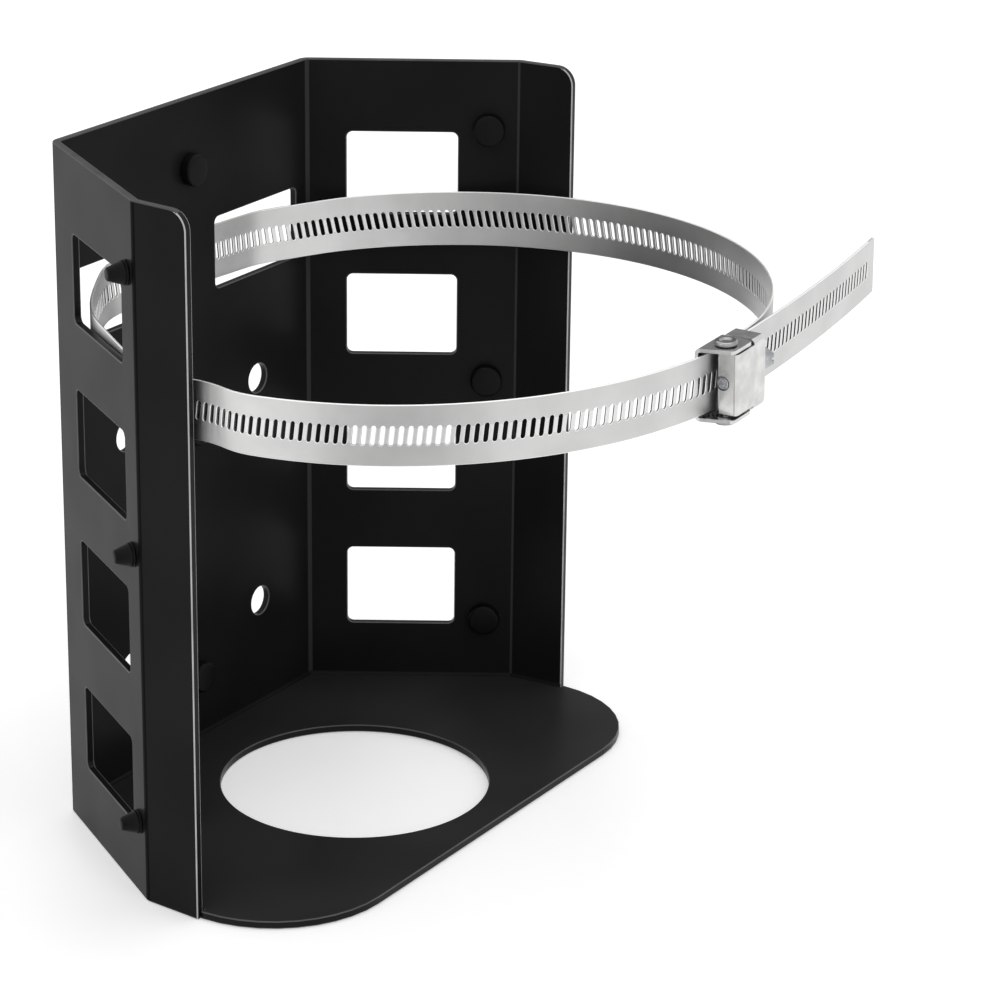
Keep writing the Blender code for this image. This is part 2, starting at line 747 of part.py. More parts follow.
def make_housing(frame, look):
    """A folded box, open towards the band, with guide tabs over and under the band's edges."""
    half = HOUSING_HEIGHT / 2
    plan = box_outline(-HOUSING_LEFT, HOUSING_RIGHT, housing_rear, housing_face)
    plan = rounded(plan, [HOUSING_EDGE_RADIUS] * 4)
    mesh = plate("clamp_housing", plan, -half, half)
    mesh.transform(Matrix.Translation(-pivot_place))
    housing = add("clamp_housing", mesh, look, frame)
    housing.location = pivot_place
    inside = box_outline(
        -HOUSING_LEFT + HOUSING_SHEET,
        HOUSING_RIGHT - HOUSING_SHEET,
        housing_rear + CUTTER_MARGIN,
        housing_face + HOUSING_SHEET,
    )
    room = half - HOUSING_SHEET
    cutter = helper("housing_room", plate("housing_room", inside, -room, room), frame)
    boolean(housing, cutter)
    bores = (
        ("pivot_bore", PIVOT_DIAMETER, pivot_place, "Z", (-2 * half, 2 * half)),
        ("boss_bore", WORM_BOSS_DIAMETER, worm_place, "X", (-2 * HOUSING_LEFT, 0)),
        ("shank_bore", WORM_SHANK_DIAMETER, worm_place, "X", (0, 2 * HOUSING_RIGHT)),
    )
    for name, diameter, place, axis, (low, high) in bores:
        bore = helper(name, cylinder(name, diameter + 2 * BORE_GAP, low, high, 20), frame)
        bore.location = place
        if axis == "X":
            bore.rotation_euler.y = math.pi / 2
        boolean(housing, bore)
    rise = band_half + SADDLE_SIDE_PLAY + HOUSING_SHEET
    section = [
        (housing_face, half - 2 * HOUSING_SHEET),
        (housing_face, rise),
        (housing_face + GUIDE_LENGTH, rise),
    ]
    bend = SADDLE_BEND_RADIUS + HOUSING_SHEET
    path = rounded(section, [0, bend, 0], closed=False)
    low = SADDLE_RIGHT + GUIDE_GAP
    high = HOUSING_RIGHT - HOUSING_EDGE_RADIUS
    for name, flip in (("guide_top", 1), ("guide_bottom", -1)):
        mesh = strip(name, path, low, high, lambda y, z, x: (x, y, z * flip))
        guide = helper(name, mesh, frame)
        solidify(guide, HOUSING_SHEET, flip)
        boolean(housing, guide, "UNION")
    smooth(housing)
    return housing


def thread_radius(turns):
    """Radius at a place along the thread, as a share of one turn past its crest."""
    root = WORM_ROOT_DIAMETER / 2
    crest = WORM_DIAMETER / 2
    wave = 0.5 + 0.5 * math.cos(2 * math.pi * turns)
    return root + (crest - root) * min(1, THREAD_CREST * wave)


def worm_rows():
    """(place along the axis, radius or None where the thread sets it) from the boss to the head."""
    boss = WORM_BOSS_DIAMETER / 2
    root = WORM_ROOT_DIAMETER / 2
    shank = WORM_SHANK_DIAMETER / 2
    left = -HOUSING_LEFT - WORM_BOSS_STAND
    inner_left = -HOUSING_LEFT + HOUSING_SHEET + SEAT_GAP
    inner_right = HOUSING_RIGHT - HOUSING_SHEET - SEAT_GAP
    start = inner_left + WORM_DIAMETER / 4
    stop = inner_right - WORM_DIAMETER / 4
    count = round((stop - start) / SLOT_PITCH * THREAD_STEPS_A_TURN)
    rows = [(left, boss), (inner_left, boss), (inner_left, root), (start, root)]
    rows += [(x, None) for x in spread(start, stop, count + 1)[1:-1]]
    rows += [(stop, root), (inner_right, root), (inner_right, shank)]
    rows.append((HOUSING_RIGHT + WORM_NECK_LENGTH + WORM_HEAD_LENGTH / 2, shank))
    return rows


def worm_body():
    """Rings of points from the boss to the head. Over the thread the radius winds round the axis."""

    def build(bm):
        rings = []
        for x, radius in worm_rows():
            ring = []
            for i in range(THREAD_ANGLE_STEPS):
                angle = 2 * math.pi * i / THREAD_ANGLE_STEPS
                turns = x / SLOT_PITCH - i / THREAD_ANGLE_STEPS
                r = thread_radius(turns) if radius is None else radius
                ring.append(bm.verts.new((r * math.cos(angle), r * math.sin(angle), x)))
            rings.append(ring)
        for here, after in zip(rings, rings[1:]):
            for i in range(THREAD_ANGLE_STEPS):
                j = (i + 1) % THREAD_ANGLE_STEPS
                bm.faces.new((here[i], here[j], after[j], after[i]))
        bm.faces.new(rings[0])
        bm.faces.new(rings[-1])
        bmesh.ops.remove_doubles(bm, verts=bm.verts, dist=MERGE_DISTANCE / 10)

    return mesh_of(build, "worm_screw")


def make_worm(housing, look):
    worm = add("worm_screw", worm_body(), look, housing)
    worm.location = worm_place - pivot_place
    worm.rotation_euler.y = math.pi / 2
    across_corners = WORM_HEAD_ACROSS_FLATS / math.cos(math.pi / 6)
    start = HOUSING_RIGHT + WORM_NECK_LENGTH
    stop = start + WORM_HEAD_LENGTH
    head = helper("screw_head", cylinder("screw_head", across_corners, start, stop, 6), housing)
    head.location = worm.location
    head.rotation_euler = worm.rotation_euler
    boolean(worm, head, "UNION")
    groove = box_outline(
        -WORM_SLOT_WIDTH / 2, WORM_SLOT_WIDTH / 2, WORM_DIAMETER, -WORM_DIAMETER
    )
    slot = helper(
        "driver_slot",
        plate("driver_slot", groove, stop - WORM_SLOT_DEPTH, stop + CUTTER_MARGIN),
        housing,
    )
    slot.location = worm.location
    slot.rotation_euler = worm.rotation_euler
    boolean(worm, slot)
    smooth(worm)


parts, cutters = start_scene()
black_coat = material("black powder coat", (0.012, 0.012, 0.012), 0.42, 0.0)
black_rubber = material("black rubber", (0.008, 0.008, 0.008), 0.6, 0.0)
stainless_band = material("stainless band", (0.62, 0.62, 0.61), 0.28, 1.0)
stainless_buckle = material("stainless buckle", (0.68, 0.68, 0.67), 0.22, 1.0)
plated_screw = material("plated screw", (0.6, 0.6, 0.6), 0.25, 1.0)

housing_rear = -BAND_THICKNESS / 2 - HOUSING_OPEN_GAP
housing_face = housing_rear - HOUSING_DEPTH
worm_line = -BAND_THICKNESS / 2 - WORM_CLEARANCE - WORM_DIAMETER / 2
worm_place = Vector((0, worm_line, 0))
pivot_place = Vector((-HOUSING_LEFT + PIVOT_SETBACK, worm_line + PIVOT_OFFSET, 0))

make_shell(black_coat)
make_base(black_coat)
make_bumpers(black_rubber)
make_band(stainless_band)

buckle_frame = bpy.data.objects.new("buckle_frame", None)
parts.objects.link(buckle_frame)
buckle_y = buckle_line()
buckle_height = band_height(BUCKLE_PLACE, buckle_y)
buckle_frame.location = (BUCKLE_PLACE, buckle_y, above_base(buckle_height))
buckle_frame.rotation_euler.y = -math.atan(BAND_RISE_RIGHT)

ear_outside = make_saddle(buckle_frame, stainless_buckle)
make_rivets(buckle_frame, ear_outside, stainless_buckle)
clamp_housing = make_housing(buckle_frame, stainless_buckle)
make_worm(clamp_housing, plated_screw)
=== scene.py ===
import json
from math import asin, atan, cos, inf, pi, radians, sin, tan

import bmesh
import bpy
from mathutils import Matrix, Vector

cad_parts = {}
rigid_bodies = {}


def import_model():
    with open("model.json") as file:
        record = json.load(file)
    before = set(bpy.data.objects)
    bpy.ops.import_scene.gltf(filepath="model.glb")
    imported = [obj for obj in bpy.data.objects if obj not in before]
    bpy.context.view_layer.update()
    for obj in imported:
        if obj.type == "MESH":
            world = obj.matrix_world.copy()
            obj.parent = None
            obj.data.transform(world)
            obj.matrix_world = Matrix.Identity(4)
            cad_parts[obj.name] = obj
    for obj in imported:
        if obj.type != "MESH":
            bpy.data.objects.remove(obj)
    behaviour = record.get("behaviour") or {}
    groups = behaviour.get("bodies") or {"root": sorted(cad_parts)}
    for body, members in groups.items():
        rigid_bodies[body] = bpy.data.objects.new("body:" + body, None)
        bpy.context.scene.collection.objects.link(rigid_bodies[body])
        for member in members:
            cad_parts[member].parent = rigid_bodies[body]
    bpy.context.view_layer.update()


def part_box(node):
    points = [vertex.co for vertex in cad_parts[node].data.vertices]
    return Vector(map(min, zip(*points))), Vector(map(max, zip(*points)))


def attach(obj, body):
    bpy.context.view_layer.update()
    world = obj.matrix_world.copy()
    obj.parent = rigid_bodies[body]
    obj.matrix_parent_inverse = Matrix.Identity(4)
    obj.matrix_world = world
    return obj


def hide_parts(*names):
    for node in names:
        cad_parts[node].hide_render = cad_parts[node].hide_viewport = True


def newObject(name, data):
    made = bpy.data.objects.new(name, data)
    bpy.context.scene.collection.objects.link(made)
    return made


def removeAll(pieces):
    for piece in pieces:
        bpy.data.objects.remove(piece, do_unlink=True)


removeAll(list(bpy.data.objects))  # the startup cube, lamp and camera
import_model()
scene = bpy.context.scene
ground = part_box("base_plate")[0].z  # underside of the base
print("frame loaded")


# Camera at the photo's place, with no shift
cameraPlace = {
    "azimuth": radians(-57.706),
    "tilt": radians(90 - 20.378),  # from straight down
    "roll": radians(0.749),
    "position": (-0.81636, -0.62485, 0.387615),
    "focalPixels": 3691.0,
    "imagePixels": 1001,
    "sensor": 36.0,
    "clip": (0.05, 20),
}


def addCamera():
    lens = bpy.data.cameras.new("camera")
    lens.sensor_width = cameraPlace["sensor"]
    lens.lens = cameraPlace["focalPixels"] * cameraPlace["sensor"] / cameraPlace["imagePixels"]
    lens.clip_start, lens.clip_end = cameraPlace["clip"]
    camera = newObject("camera", lens)
    place = Matrix.Translation(cameraPlace["position"])
    for name, axis in (("azimuth", "Z"), ("tilt", "X"), ("roll", "Z")):
        place @= Matrix.Rotation(cameraPlace[name], 4, axis)
    camera.matrix_world = place
    scene.camera = camera


addCamera()
print("camera placed")


# Node and colour helpers
def colourOf(code):  # an sRGB hex colour as linear values
    parts = [int(code[i : i + 2], 16) / 255 for i in (1, 3, 5)]
    linear = [c / 12.92 if c <= 0.04045 else ((c + 0.055) / 1.055) ** 2.4 for c in parts]
    return (*linear, 1.0)


def setInputs(node, values):  # socket name or index to a value, a link or a node, for its first output
    for socket, value in values.items():
        if isinstance(value, bpy.types.Node):
            value = value.outputs[0]
        if isinstance(value, bpy.types.NodeSocket):
            node.id_data.links.new(value, node.inputs[socket])
        else:
            node.inputs[socket].default_value = value


def addNode(tree, kind, values=None, **settings):
    made = tree.nodes.new(kind)
    for name, value in settings.items():
        setattr(made, name, value)
    setInputs(made, values or {})
    return made


def newMaterial(name):
    made = bpy.data.materials.new(name)
    made.use_nodes = True
    return made, made.node_tree, made.node_tree.nodes["Principled BSDF"]


cloudLevels = (0.3, 0.7)  # of the noise, for the low and the high number
toneLevels = (0.35, 0.65)  # and for the two colours


def clouded(tree, place, size, low, high, detail=2.0):  # patches of a size, between two colours or numbers
    patches = addNode(tree, "ShaderNodeTexNoise", {"Vector": place, "Scale": 1 / size, "Detail": detail})
    if not isinstance(low, str):
        names = ("From Min", "From Max", "To Min", "To Max")
        spread = dict(zip(names, (*cloudLevels, low, high)), Value=patches)
        return addNode(tree, "ShaderNodeMapRange", spread)
    tones = addNode(tree, "ShaderNodeValToRGB", {"Fac": patches})
    for element, position, code in zip(tones.color_ramp.elements, toneLevels, (low, high)):
        element.position = position
        element.color = colourOf(code)
    return tones


def grained(tree, place, size, strength, depth, under=None):  # bumps of a size, over those under them
    height = addNode(tree, "ShaderNodeTexNoise", {"Vector": place, "Scale": 1 / size, "Detail": 2.0})
    values = {"Height": height, "Strength": strength, "Distance": depth}
    if under:
        values["Normal"] = under
    return addNode(tree, "ShaderNodeBump", values)


# Fixed values, then clouds of tone and roughness (size, two ends, detail) and bumps (size, strength, depth).
# Marks with a direction are stretched. A share is an attribute that says how far a face takes another colour,
# with patches where that comes and goes. The strip is worked on flat, so it keeps its flat places.
def surfaceMaterial(name, fixed, tone=None, roughness=None, bumps=(), stretch=None, shares=(), flat=False):
    made, tree, shader = newMaterial(name)
    if flat:
        place = addNode(tree, "ShaderNodeUVMap", uv_map="UVMap").outputs["UV"]
    else:
        place = addNode(tree, "ShaderNodeTexCoord").outputs["Object"]
    fine = addNode(tree, "ShaderNodeMapping", {"Vector": place, "Scale": stretch}) if stretch else place
    look = dict(fixed)
    if tone:
        look["Base Color"] = clouded(tree, place, *tone)
    for attribute, code, *patch in shares:
        share = addNode(tree, "ShaderNodeAttribute", attribute_name=attribute).outputs["Fac"]
        if patch:
            patches = clouded(tree, place, *patch)
            share = addNode(tree, "ShaderNodeMath", {0: share, 1: patches}, operation="MULTIPLY")
        values = {"Factor": share, "A": look["Base Color"], "B": colourOf(code)}
        look["Base Color"] = addNode(tree, "ShaderNodeMix", values, data_type="RGBA").outputs["Result"]
    if roughness:
        look["Roughness"] = clouded(tree, fine, *roughness)
    for bump in bumps:
        look["Normal"] = grained(tree, fine, *bump, look.get("Normal"))
    setInputs(shader, look)
    return made


# Satin black polyester powder coat, sprayed on steel sheet and baked: near black with a low sheen, the soft
# orange peel of baked powder, a faint mottle and a fine grain, drawn at 0.35 mm so that it shows. The base
# takes a paler copy of it, painted light from above on the level sheet
orangePeel = (0.0016, 0.10, 0.00004)
coatLook = {
    "fixed": {"IOR": 1.13},
    "roughness": (0.015, 0.28, 0.32, 0.0),
    "bumps": (orangePeel, (0.00035, 0.08, 0.00001)),
}
coat = surfaceMaterial("satinBlackPowderCoatShell", tone=(0.030, "#1a1a1a", "#1e1e1e", 0.0), **coatLook)
baseCoatPaintedLight = surfaceMaterial("satinBlackPowderCoatBasePaintedLight", tone=(0.030, "#2c2c2c", "#323232", 0.0), **coatLook)

# The same coat on the sheet's rims, with a painted highlight: a fine grey line that comes and goes
coatEdge = surfaceMaterial(
    "powderCoatPaintedEdgeHighlight",
    {"Base Color": colourOf("#0c0c0c"), "Roughness": 0.3, "IOR": 1.2},
    shares=[("edgePaintedHighlight", "#e6e6e6", 0.012, 0.7, 1.0, 3.0)],
)
edgePaintedHighlight = {  # share of painted highlight on the rim and on the wall of each kind of edge
    "top": (0.11, 0.11),
    "flange": (0.8, 0.01),
    "hole": (0.17, 0.005),
    "base": (0.16, 0.01),
}

# The same coat over the folds, rougher, with a painted dark reflection outside each fold and a painted
# highlight inside
foldOutsidePaintedDark, foldInsidePaintedHighlight = [
    surfaceMaterial(name, {"Base Color": colourOf(code), "Roughness": 0.45, "IOR": 1.1}, bumps=[orangePeel])
    for name, code in (("powderCoatFoldPaintedDark", "#070707"), ("powderCoatFoldPaintedHighlight", "#3a3a38"))
]

# Black rubber from a sandblasted mould: deep black and dull, with a fine even grain, drawn at 0.5 mm to show
rubber = surfaceMaterial(
    "mouldedBlackRubber",
    {"IOR": 1.22},
    tone=(0.006, "#080808", "#0c0c0c"),
    roughness=(0.006, 0.42, 0.52),
    bumps=[(0.0005, 0.2, 0.00003)],
)

# Cold rolled stainless strip with pressed slots: pale grey, slightly cloudy, with fine rolling lines along
# it, a painted highlight on the slot rims, the bars and the strip's edges, and painted shade in the slot
# walls.
# The lines are drawn 0.3 mm wide so that they show
strip = surfaceMaterial(
    "rolledStainlessStrip",
    {"Metallic": 1.0},
    tone=(0.012, "#cacac9", "#d2d2d1"),
    roughness=(1.0, 0.39, 0.41),
    bumps=[(1.0, 0.004, 0.00001)],
    stretch=(1 / 0.03, 1 / 0.0003, 1),  # one over the length and width of a rolling line
    shares=[("stripPaintedHighlight", "#fdfdfc"), ("slotWallPaintedShade", "#464646")],
    flat=True,
)

# Barrel polished stainless pressing: bright, with soft waves from the press and fine scuffs, drawn at 0.4 mm
# so that they show. The rivets were headed cold, and are duller for it
pressing, rivetSteel = [
    surfaceMaterial(
        name,
        {"Metallic": 1.0},
        tone=(0.004, *tones),
        roughness=(0.0004, 0.2, 0.28, 4.0),
        bumps=[(0.004, 0.18, 0.00005)],
    )
    for name, tones in (
        ("polishedStainlessSheet", ("#c8c8c7", "#dcdcdb")),
        ("polishedStainlessRivet", ("#8c8c8b", "#a6a6a5")),
    )
]

# Bright zinc plate on a turned steel screw: a little bluer and duller than the stainless, with turning rings,
# drawn 0.3 mm wide so that they show
zinc = surfaceMaterial(
    "brightZincPlate",
    {"Metallic": 1.0},
    tone=(0.003, "#94979a", "#b2b4b6"),
    roughness=(1.0, 0.22, 0.36),
    bumps=[(1.0, 0.15, 0.00002)],
    stretch=(1 / 0.0003, 90, 90),  # one over the width of a ring, and its length round the screw
)
print("materials made")


# Mesh helpers
cutWithin = 1e-7  # points of a cut or a closed end nearer than this are one
rounding = 1e-9  # allowed where a place on the laid out sheet is compared
arcStep = radians(9)  # of a rounded corner
roundSides = 40  # of turned pieces and bores
sheetMerge = 0.000002  # points of a sheet nearer than this are one
rimLean = 0.97  # a face of a flat sheet that leans more than this is part of its rim
wallLean = 0.25  # and one that leans more than this is the wall of the cut


def newPiece(name, mesh, *materials):
    for material in materials:
        mesh.materials.append(material)
    return newObject(name, mesh)


def meshFrom(bm, name, outward=True):
    if outward:
        bmesh.ops.recalc_face_normals(bm, faces=bm.faces)
    made = bpy.data.meshes.new(name)
    bm.to_mesh(made)
    bm.free()
    return made


def evaluated(piece):
    graph = bpy.context.evaluated_depsgraph_get()
    return bpy.data.meshes.new_from_object(piece.evaluated_get(graph), depsgraph=graph)


def plainMesh(piece):  # the evaluated shape takes the place of the modifiers
    made = evaluated(piece)
    piece.modifiers.clear()
    piece.data = made


def addModifier(piece, kind, **settings):
    made = piece.modifiers.new(kind.lower(), kind)
    for name, value in settings.items():
        setattr(made, name, value)
    return made


def softNormals(piece):  # large flat faces keep their shading, small edge faces turn between them
    piece.data.shade_smooth()
    addModifier(piece, "WEIGHTED_NORMAL", weight=100)
    plainMesh(piece)


def smoothed(mesh, degrees):  # and sharp where faces meet at more than this
    mesh.shade_smooth()
    mesh.set_sharp_from_angle(angle=radians(degrees))


def settle(piece, body, slotName, *nodes):
    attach(piece, body)
    if nodes:
        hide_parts(*nodes)


def spaced(low, high, count):
    return [low + (high - low) * i / (count - 1) for i in range(count)]


def cornerArc(before, corner, after, radius):  # points that round one corner
    into = (corner - before).normalized()
    out = (after - corner).normalized()
    turn = into.angle_signed(out)
    if radius <= 0 or abs(turn) < radians(1):
        return [corner]
    reach = radius * tan(abs(turn) / 2)
    start = corner - into * reach
    side = Vector((-into.y, into.x)) * (-1 if turn > 0 else 1)
    centre = start + side * radius
    steps = max(3, round(abs(turn) / arcStep))
    turns = [Matrix.Rotation(-turn * i / steps, 2) for i in range(steps + 1)]
    return [centre + swing @ (start - centre) for swing in turns]


def roundedPath(points, radii, closed=True):
    corners = [Vector(point) for point in points]
    path = []
    for i, radius in enumerate(radii):
        if not closed and i in (0, len(corners) - 1):
            path.append(corners[i])
        else:
            path += cornerArc(corners[i - 1], corners[i], corners[(i + 1) % len(corners)], radius)
    return path


def circlePoints(x, y, diameter, count):
    angles = [2 * pi * i / count for i in range(count)]
    return [(x + cos(a) * diameter / 2, y + sin(a) * diameter / 2) for a in angles]


def boxPoints(left, right, low, high):
    return [(left, low), (right, low), (right, high), (left, high)]


def addLine(curve, points):
    line = curve.splines.new("POLY")
    line.points.add(len(points) - 1)
    for point, place in zip(line.points, points):
        point.co = (*place, 1)
    return line


def sheetBlank(name, outlines, thickness, edge):  # a flat sheet with holes and rounded rims, z from 0
    outline = bpy.data.curves.new(name, "CURVE")
    outline.dimensions = "2D"
    outline.fill_mode = "BOTH"
    outline.extrude = thickness / 2 - edge
    outline.bevel_depth = edge
    outline.bevel_resolution = 2
    outline.offset = -edge
    for points in outlines:
        addLine(outline, [(x, y, 0) for x, y in points]).use_cyclic_u = True
    guide = newObject(name, outline)
    bm = bmesh.new()
    bm.from_mesh(evaluated(guide))
    removeAll([guide])
    bmesh.ops.remove_doubles(bm, verts=bm.verts, dist=sheetMerge)
    bmesh.ops.translate(bm, verts=bm.verts, vec=(0, 0, thickness / 2))
    bmesh.ops.recalc_face_normals(bm, faces=bm.faces)
    return bm


def markRims(bm, edgeAt):  # the rims of a flat sheet take the second material, with their share of painted highlight
    layer = bm.faces.layers.float.new("edgePaintedHighlight")
    for face in bm.faces:
        level = abs(face.normal.z)
        if level < rimLean:
            rim, wall = edgePaintedHighlight[edgeAt(face.calc_center_median())]
            face.material_index = 1
            face[layer] = wall if level < wallLean else rim


def joinRings(bm, rings):  # faces from each ring to the next, where a single point closes an end
    faces = []
    sides = max(len(ring) for ring in rings)
    for here, after in zip(rings, rings[1:]):
        for i in range(sides):
            j = (i + 1) % sides
            corners = [here[i % len(here)], here[j % len(here)], after[j % len(after)], after[i % len(after)]]
            faces.append(bm.faces.new(list(dict.fromkeys(corners))))
    return faces


# Rows of radius and height turned round z. A row without a radius takes it from threadAt.
def turnedMesh(name, profile, sides=roundSides, threadAt=None):
    bm = bmesh.new()
    rings = []
    for radius, height in profile:
        ring = []
        for i in range(1 if radius == 0 else sides):
            angle = 2 * pi * i / sides
            reach = threadAt(height, i / sides) if radius is None else radius
            ring.append(bm.verts.new((cos(angle) * reach, sin(angle) * reach, height)))
        rings.append(ring)
    joinRings(bm, rings)
    return meshFrom(bm, name)


# Folded shell: one sheet, laid out flat, pierced, then bent round its four folds
shellSizes = {
    "height": 0.200,
    "sheet": 0.0022,
    "bendRadius": 0.0015,  # inside each fold
    "wallHalf": 0.059,
    "flankLength": 0.065,
    "flankAngle": radians(57.5),
    "flangeLength": 0.0183,
    "flangeAngle": radians(28.2),
    "flangeCorner": 0.0055,
    "rim": 0.0003,
    "windowCount": 4,
    "windowHeight": 0.0252,
    "windowTop": 0.022,
    "windowBottom": 0.0198,
    "windowCorner": 0.0019,
    "rightWindow": (0.0131, 0.0333),  # start and length along the flank
    "leftWindow": (0.0156, 0.0396),
    "bandWindow": (0.0116, 0.0520),
    "bandWindowHeight": 0.0216,
    "bandWindowDrop": 0.0488,
    "hole": (0.009, 48),  # diameter and sides
    "holeAcross": 0.0318,
    "holeHeights": (0.10735, 0.0356),
    "plugHole": (0.005, 24),
    "bendCuts": (9, 6),
}
bumperSizes = {
    "count": 3,
    "topMargin": 0.0208,
    "bottomMargin": 0.0218,
    "right": 0.0556,  # along the flank from the wall corner
    "left": 0.0594,
    "headRadius": 0.0048,
    "headThickness": 0.003,
    "headEdge": 0.0009,
    "crown": 0.00015,  # of the head's face
    "neckRadius": 0.0022,
    "barbRadius": 0.0035,
    "tailRadius": 0.0032,
    "tipRadius": 0.0019,
    "tipEdge": 0.0006,
    "edge": 0.0001,
    "barbLength": 0.0006,
    "tailLength": 0.0054,
    "trimmedLength": 0.001,
    "gap": 0.0003,
    "barbSteps": (2.3, 2, 1.1, 0.8),  # heights of the steps from tail to barb, in barb lengths
    "crownStep": (0.6, 0.8),  # a step of the face: share of the head's radius and of the crown
    "sharp": 40,  # degrees from which faces that meet keep an edge
}
outerBend = shellSizes["bendRadius"] + shellSizes["sheet"]


def ahead(heading):
    return Vector((cos(heading), -sin(heading)))


def outOf(heading):  # away from the outer face of a stretch that heads there
    return Vector((sin(heading), cos(heading)))


def bendReach(angle):  # from the sharp outer corner to where the arc starts
    return outerBend * tan(angle / 2)


def layout():  # the right half's stretches along the outer face: start, start point, heading, arc angle
    s = shellSizes
    first = bendReach(s["flankAngle"])
    second = bendReach(s["flangeAngle"])
    rows = []
    place = Vector((0, 0))
    heading = 0.0
    along = 0.0
    for length, angle in (
        (s["wallHalf"] - first, s["flankAngle"]),
        (s["flankLength"] - first - second, s["flangeAngle"]),
        (s["flangeLength"] - second, 0.0),
    ):
        rows.append((along, place.copy(), heading, 0.0))
        place += ahead(heading) * length
        along += length
        if angle:
            rows.append((along, place.copy(), heading, angle))
            centre = place - outOf(heading) * outerBend
            heading += angle
            place = centre + outOf(heading) * outerBend
            along += outerBend * angle
    return rows, along


def bent(along, depth, rows):  # a place on the folded sheet, depth from its outer face
    reach = abs(along)
    start, place, heading, angle = [row for row in rows if row[0] <= reach + rounding][-1]
    if angle:
        centre = place - outOf(heading) * outerBend
        point = centre + outOf(heading + (reach - start) / outerBend) * (outerBend - depth)
    else:
        point = place + ahead(heading) * (reach - start) - outOf(heading) * depth
    return -point.x if along < 0 else point.x, point.y


def onFlank(distance):  # from a distance past the wall's sharp corner to one along the laid out sheet
    angle = shellSizes["flankAngle"]
    return shellSizes["wallHalf"] + outerBend * angle + distance - 2 * bendReach(angle)


def bumperHeights():
    top = shellSizes["height"] - bumperSizes["topMargin"]
    return spaced(top, bumperSizes["bottomMargin"], bumperSizes["count"])


def shellOutlines(end):
    s = shellSizes
    height = s["height"]
    corner = s["flangeCorner"]
    outlines = [roundedPath(boxPoints(-end, end, 0, height), [0, 0, corner, corner])]
    tall = s["windowHeight"]
    levels = spaced(height - s["windowTop"] - tall / 2, s["windowBottom"] + tall / 2, s["windowCount"])
    for side, name in ((-1, "left"), (1, "right")):
        start, length = s[name + "Window"]
        windows = [(onFlank(start), onFlank(start + length), level, tall) for level in levels]
        windows.append((*s["bandWindow"], height - s["bandWindowDrop"], s["bandWindowHeight"]))
        for inner, outer, middle, size in windows:
            low, high = sorted((side * inner, side * outer))
            box = boxPoints(low, high, middle - size / 2, middle + size / 2)
            outlines.append(roundedPath(box, [s["windowCorner"]] * 4))
        outlines += [circlePoints(side * s["holeAcross"], level, *s["hole"]) for level in s["holeHeights"]]
        place = side * onFlank(bumperSizes[name])
        outlines += [circlePoints(place, level, *s["plugHole"]) for level in bumperHeights()]
    return outlines + [circlePoints(0, level, *s["plugHole"]) for level in bumperHeights()]


def shellEdge(place, end):  # which kind of edge a rim face of the laid out sheet is on
    if place.y > shellSizes["height"] - 2 * shellSizes["rim"]:
        return "top"
    return "flange" if abs(place.x) > end - shellSizes["flangeCorner"] else "hole"


def makeShell():
    s = shellSizes
    rows, end = layout()
    bm = sheetBlank("folded_sheet", shellOutlines(end), s["sheet"], s["rim"])
    markRims(bm, lambda place: shellEdge(place, end))
    arcs = [row for row in rows if row[3]]
    for (start, _, _, angle), cuts in zip(arcs, s["bendCuts"]):
        for place in spaced(start, start + outerBend * angle, cuts):
            for side in (-1, 1):
                everything = bm.verts[:] + bm.edges[:] + bm.faces[:]
                plane = {"plane_co": (side * place, 0, 0), "plane_no": (1, 0, 0)}
                bmesh.ops.bisect_plane(bm, geom=everything, dist=cutWithin, **plane)
    for face in bm.faces:  # the folds take the third material, a painted dark reflection, outside and the fourth, a painted highlight, inside
        place = face.calc_center_median()
        over = any(start < abs(place.x) < start + outerBend * angle for start, _, _, angle in arcs)
        if over and face.material_index == 0:
            face.material_index = 2 if place.z < s["sheet"] / 2 else 3
    for vert in bm.verts:
        along, height, depth = vert.co
        vert.co = (*bent(along, depth, rows), ground + height)
    shell = newPiece("folded_sheet", meshFrom(bm, "folded_sheet"), coat, coatEdge, foldOutsidePaintedDark, foldInsidePaintedHighlight)
    softNormals(shell)
    settle(shell, "bracket", "black_coat", "folded_shell")


makeShell()
print("shell folded")


# Base plate, let in between the flanks, with its round hole
baseSizes = {
    "thickness": 0.0022,
    "reach": 0.1088,
    "halfWidth": 0.0943,
    "corner": 0.0345,
    "holeDiameter": 0.079,
    "holeCentre": 0.05935,
    "holeSides": 128,
    "gap": 0.0003,
    "rim": 0.0003,
    "weldLeg": 0.0009,
    "weldHollow": 0.3,  # of the leg, at the middle of the fillet
    "weldBend": 0.0002,
    "weldSharp": 50,
}


def innerCorners(inset):  # right half of the shell's plan, moved in from its outer face
    s = shellSizes
    flank = ahead(s["flankAngle"])
    flange = ahead(s["flankAngle"] + s["flangeAngle"])
    corner = Vector((s["wallHalf"], 0))
    fold = corner + flank * s["flankLength"]
    end = fold + flange * s["flangeLength"]
    between = (flank + flange).normalized()
    atCorner = Vector((-tan(s["flankAngle"] / 2), -1)) * inset
    atFold = Vector((between.y, -between.x)) * inset / cos(s["flangeAngle"] / 2)
    atEnd = Vector((flange.y, -flange.x)) * inset
    return corner + atCorner, fold + atFold, end + atEnd


def mirrored(points):
    return [Vector((-point.x, point.y)) for point in reversed(points)]


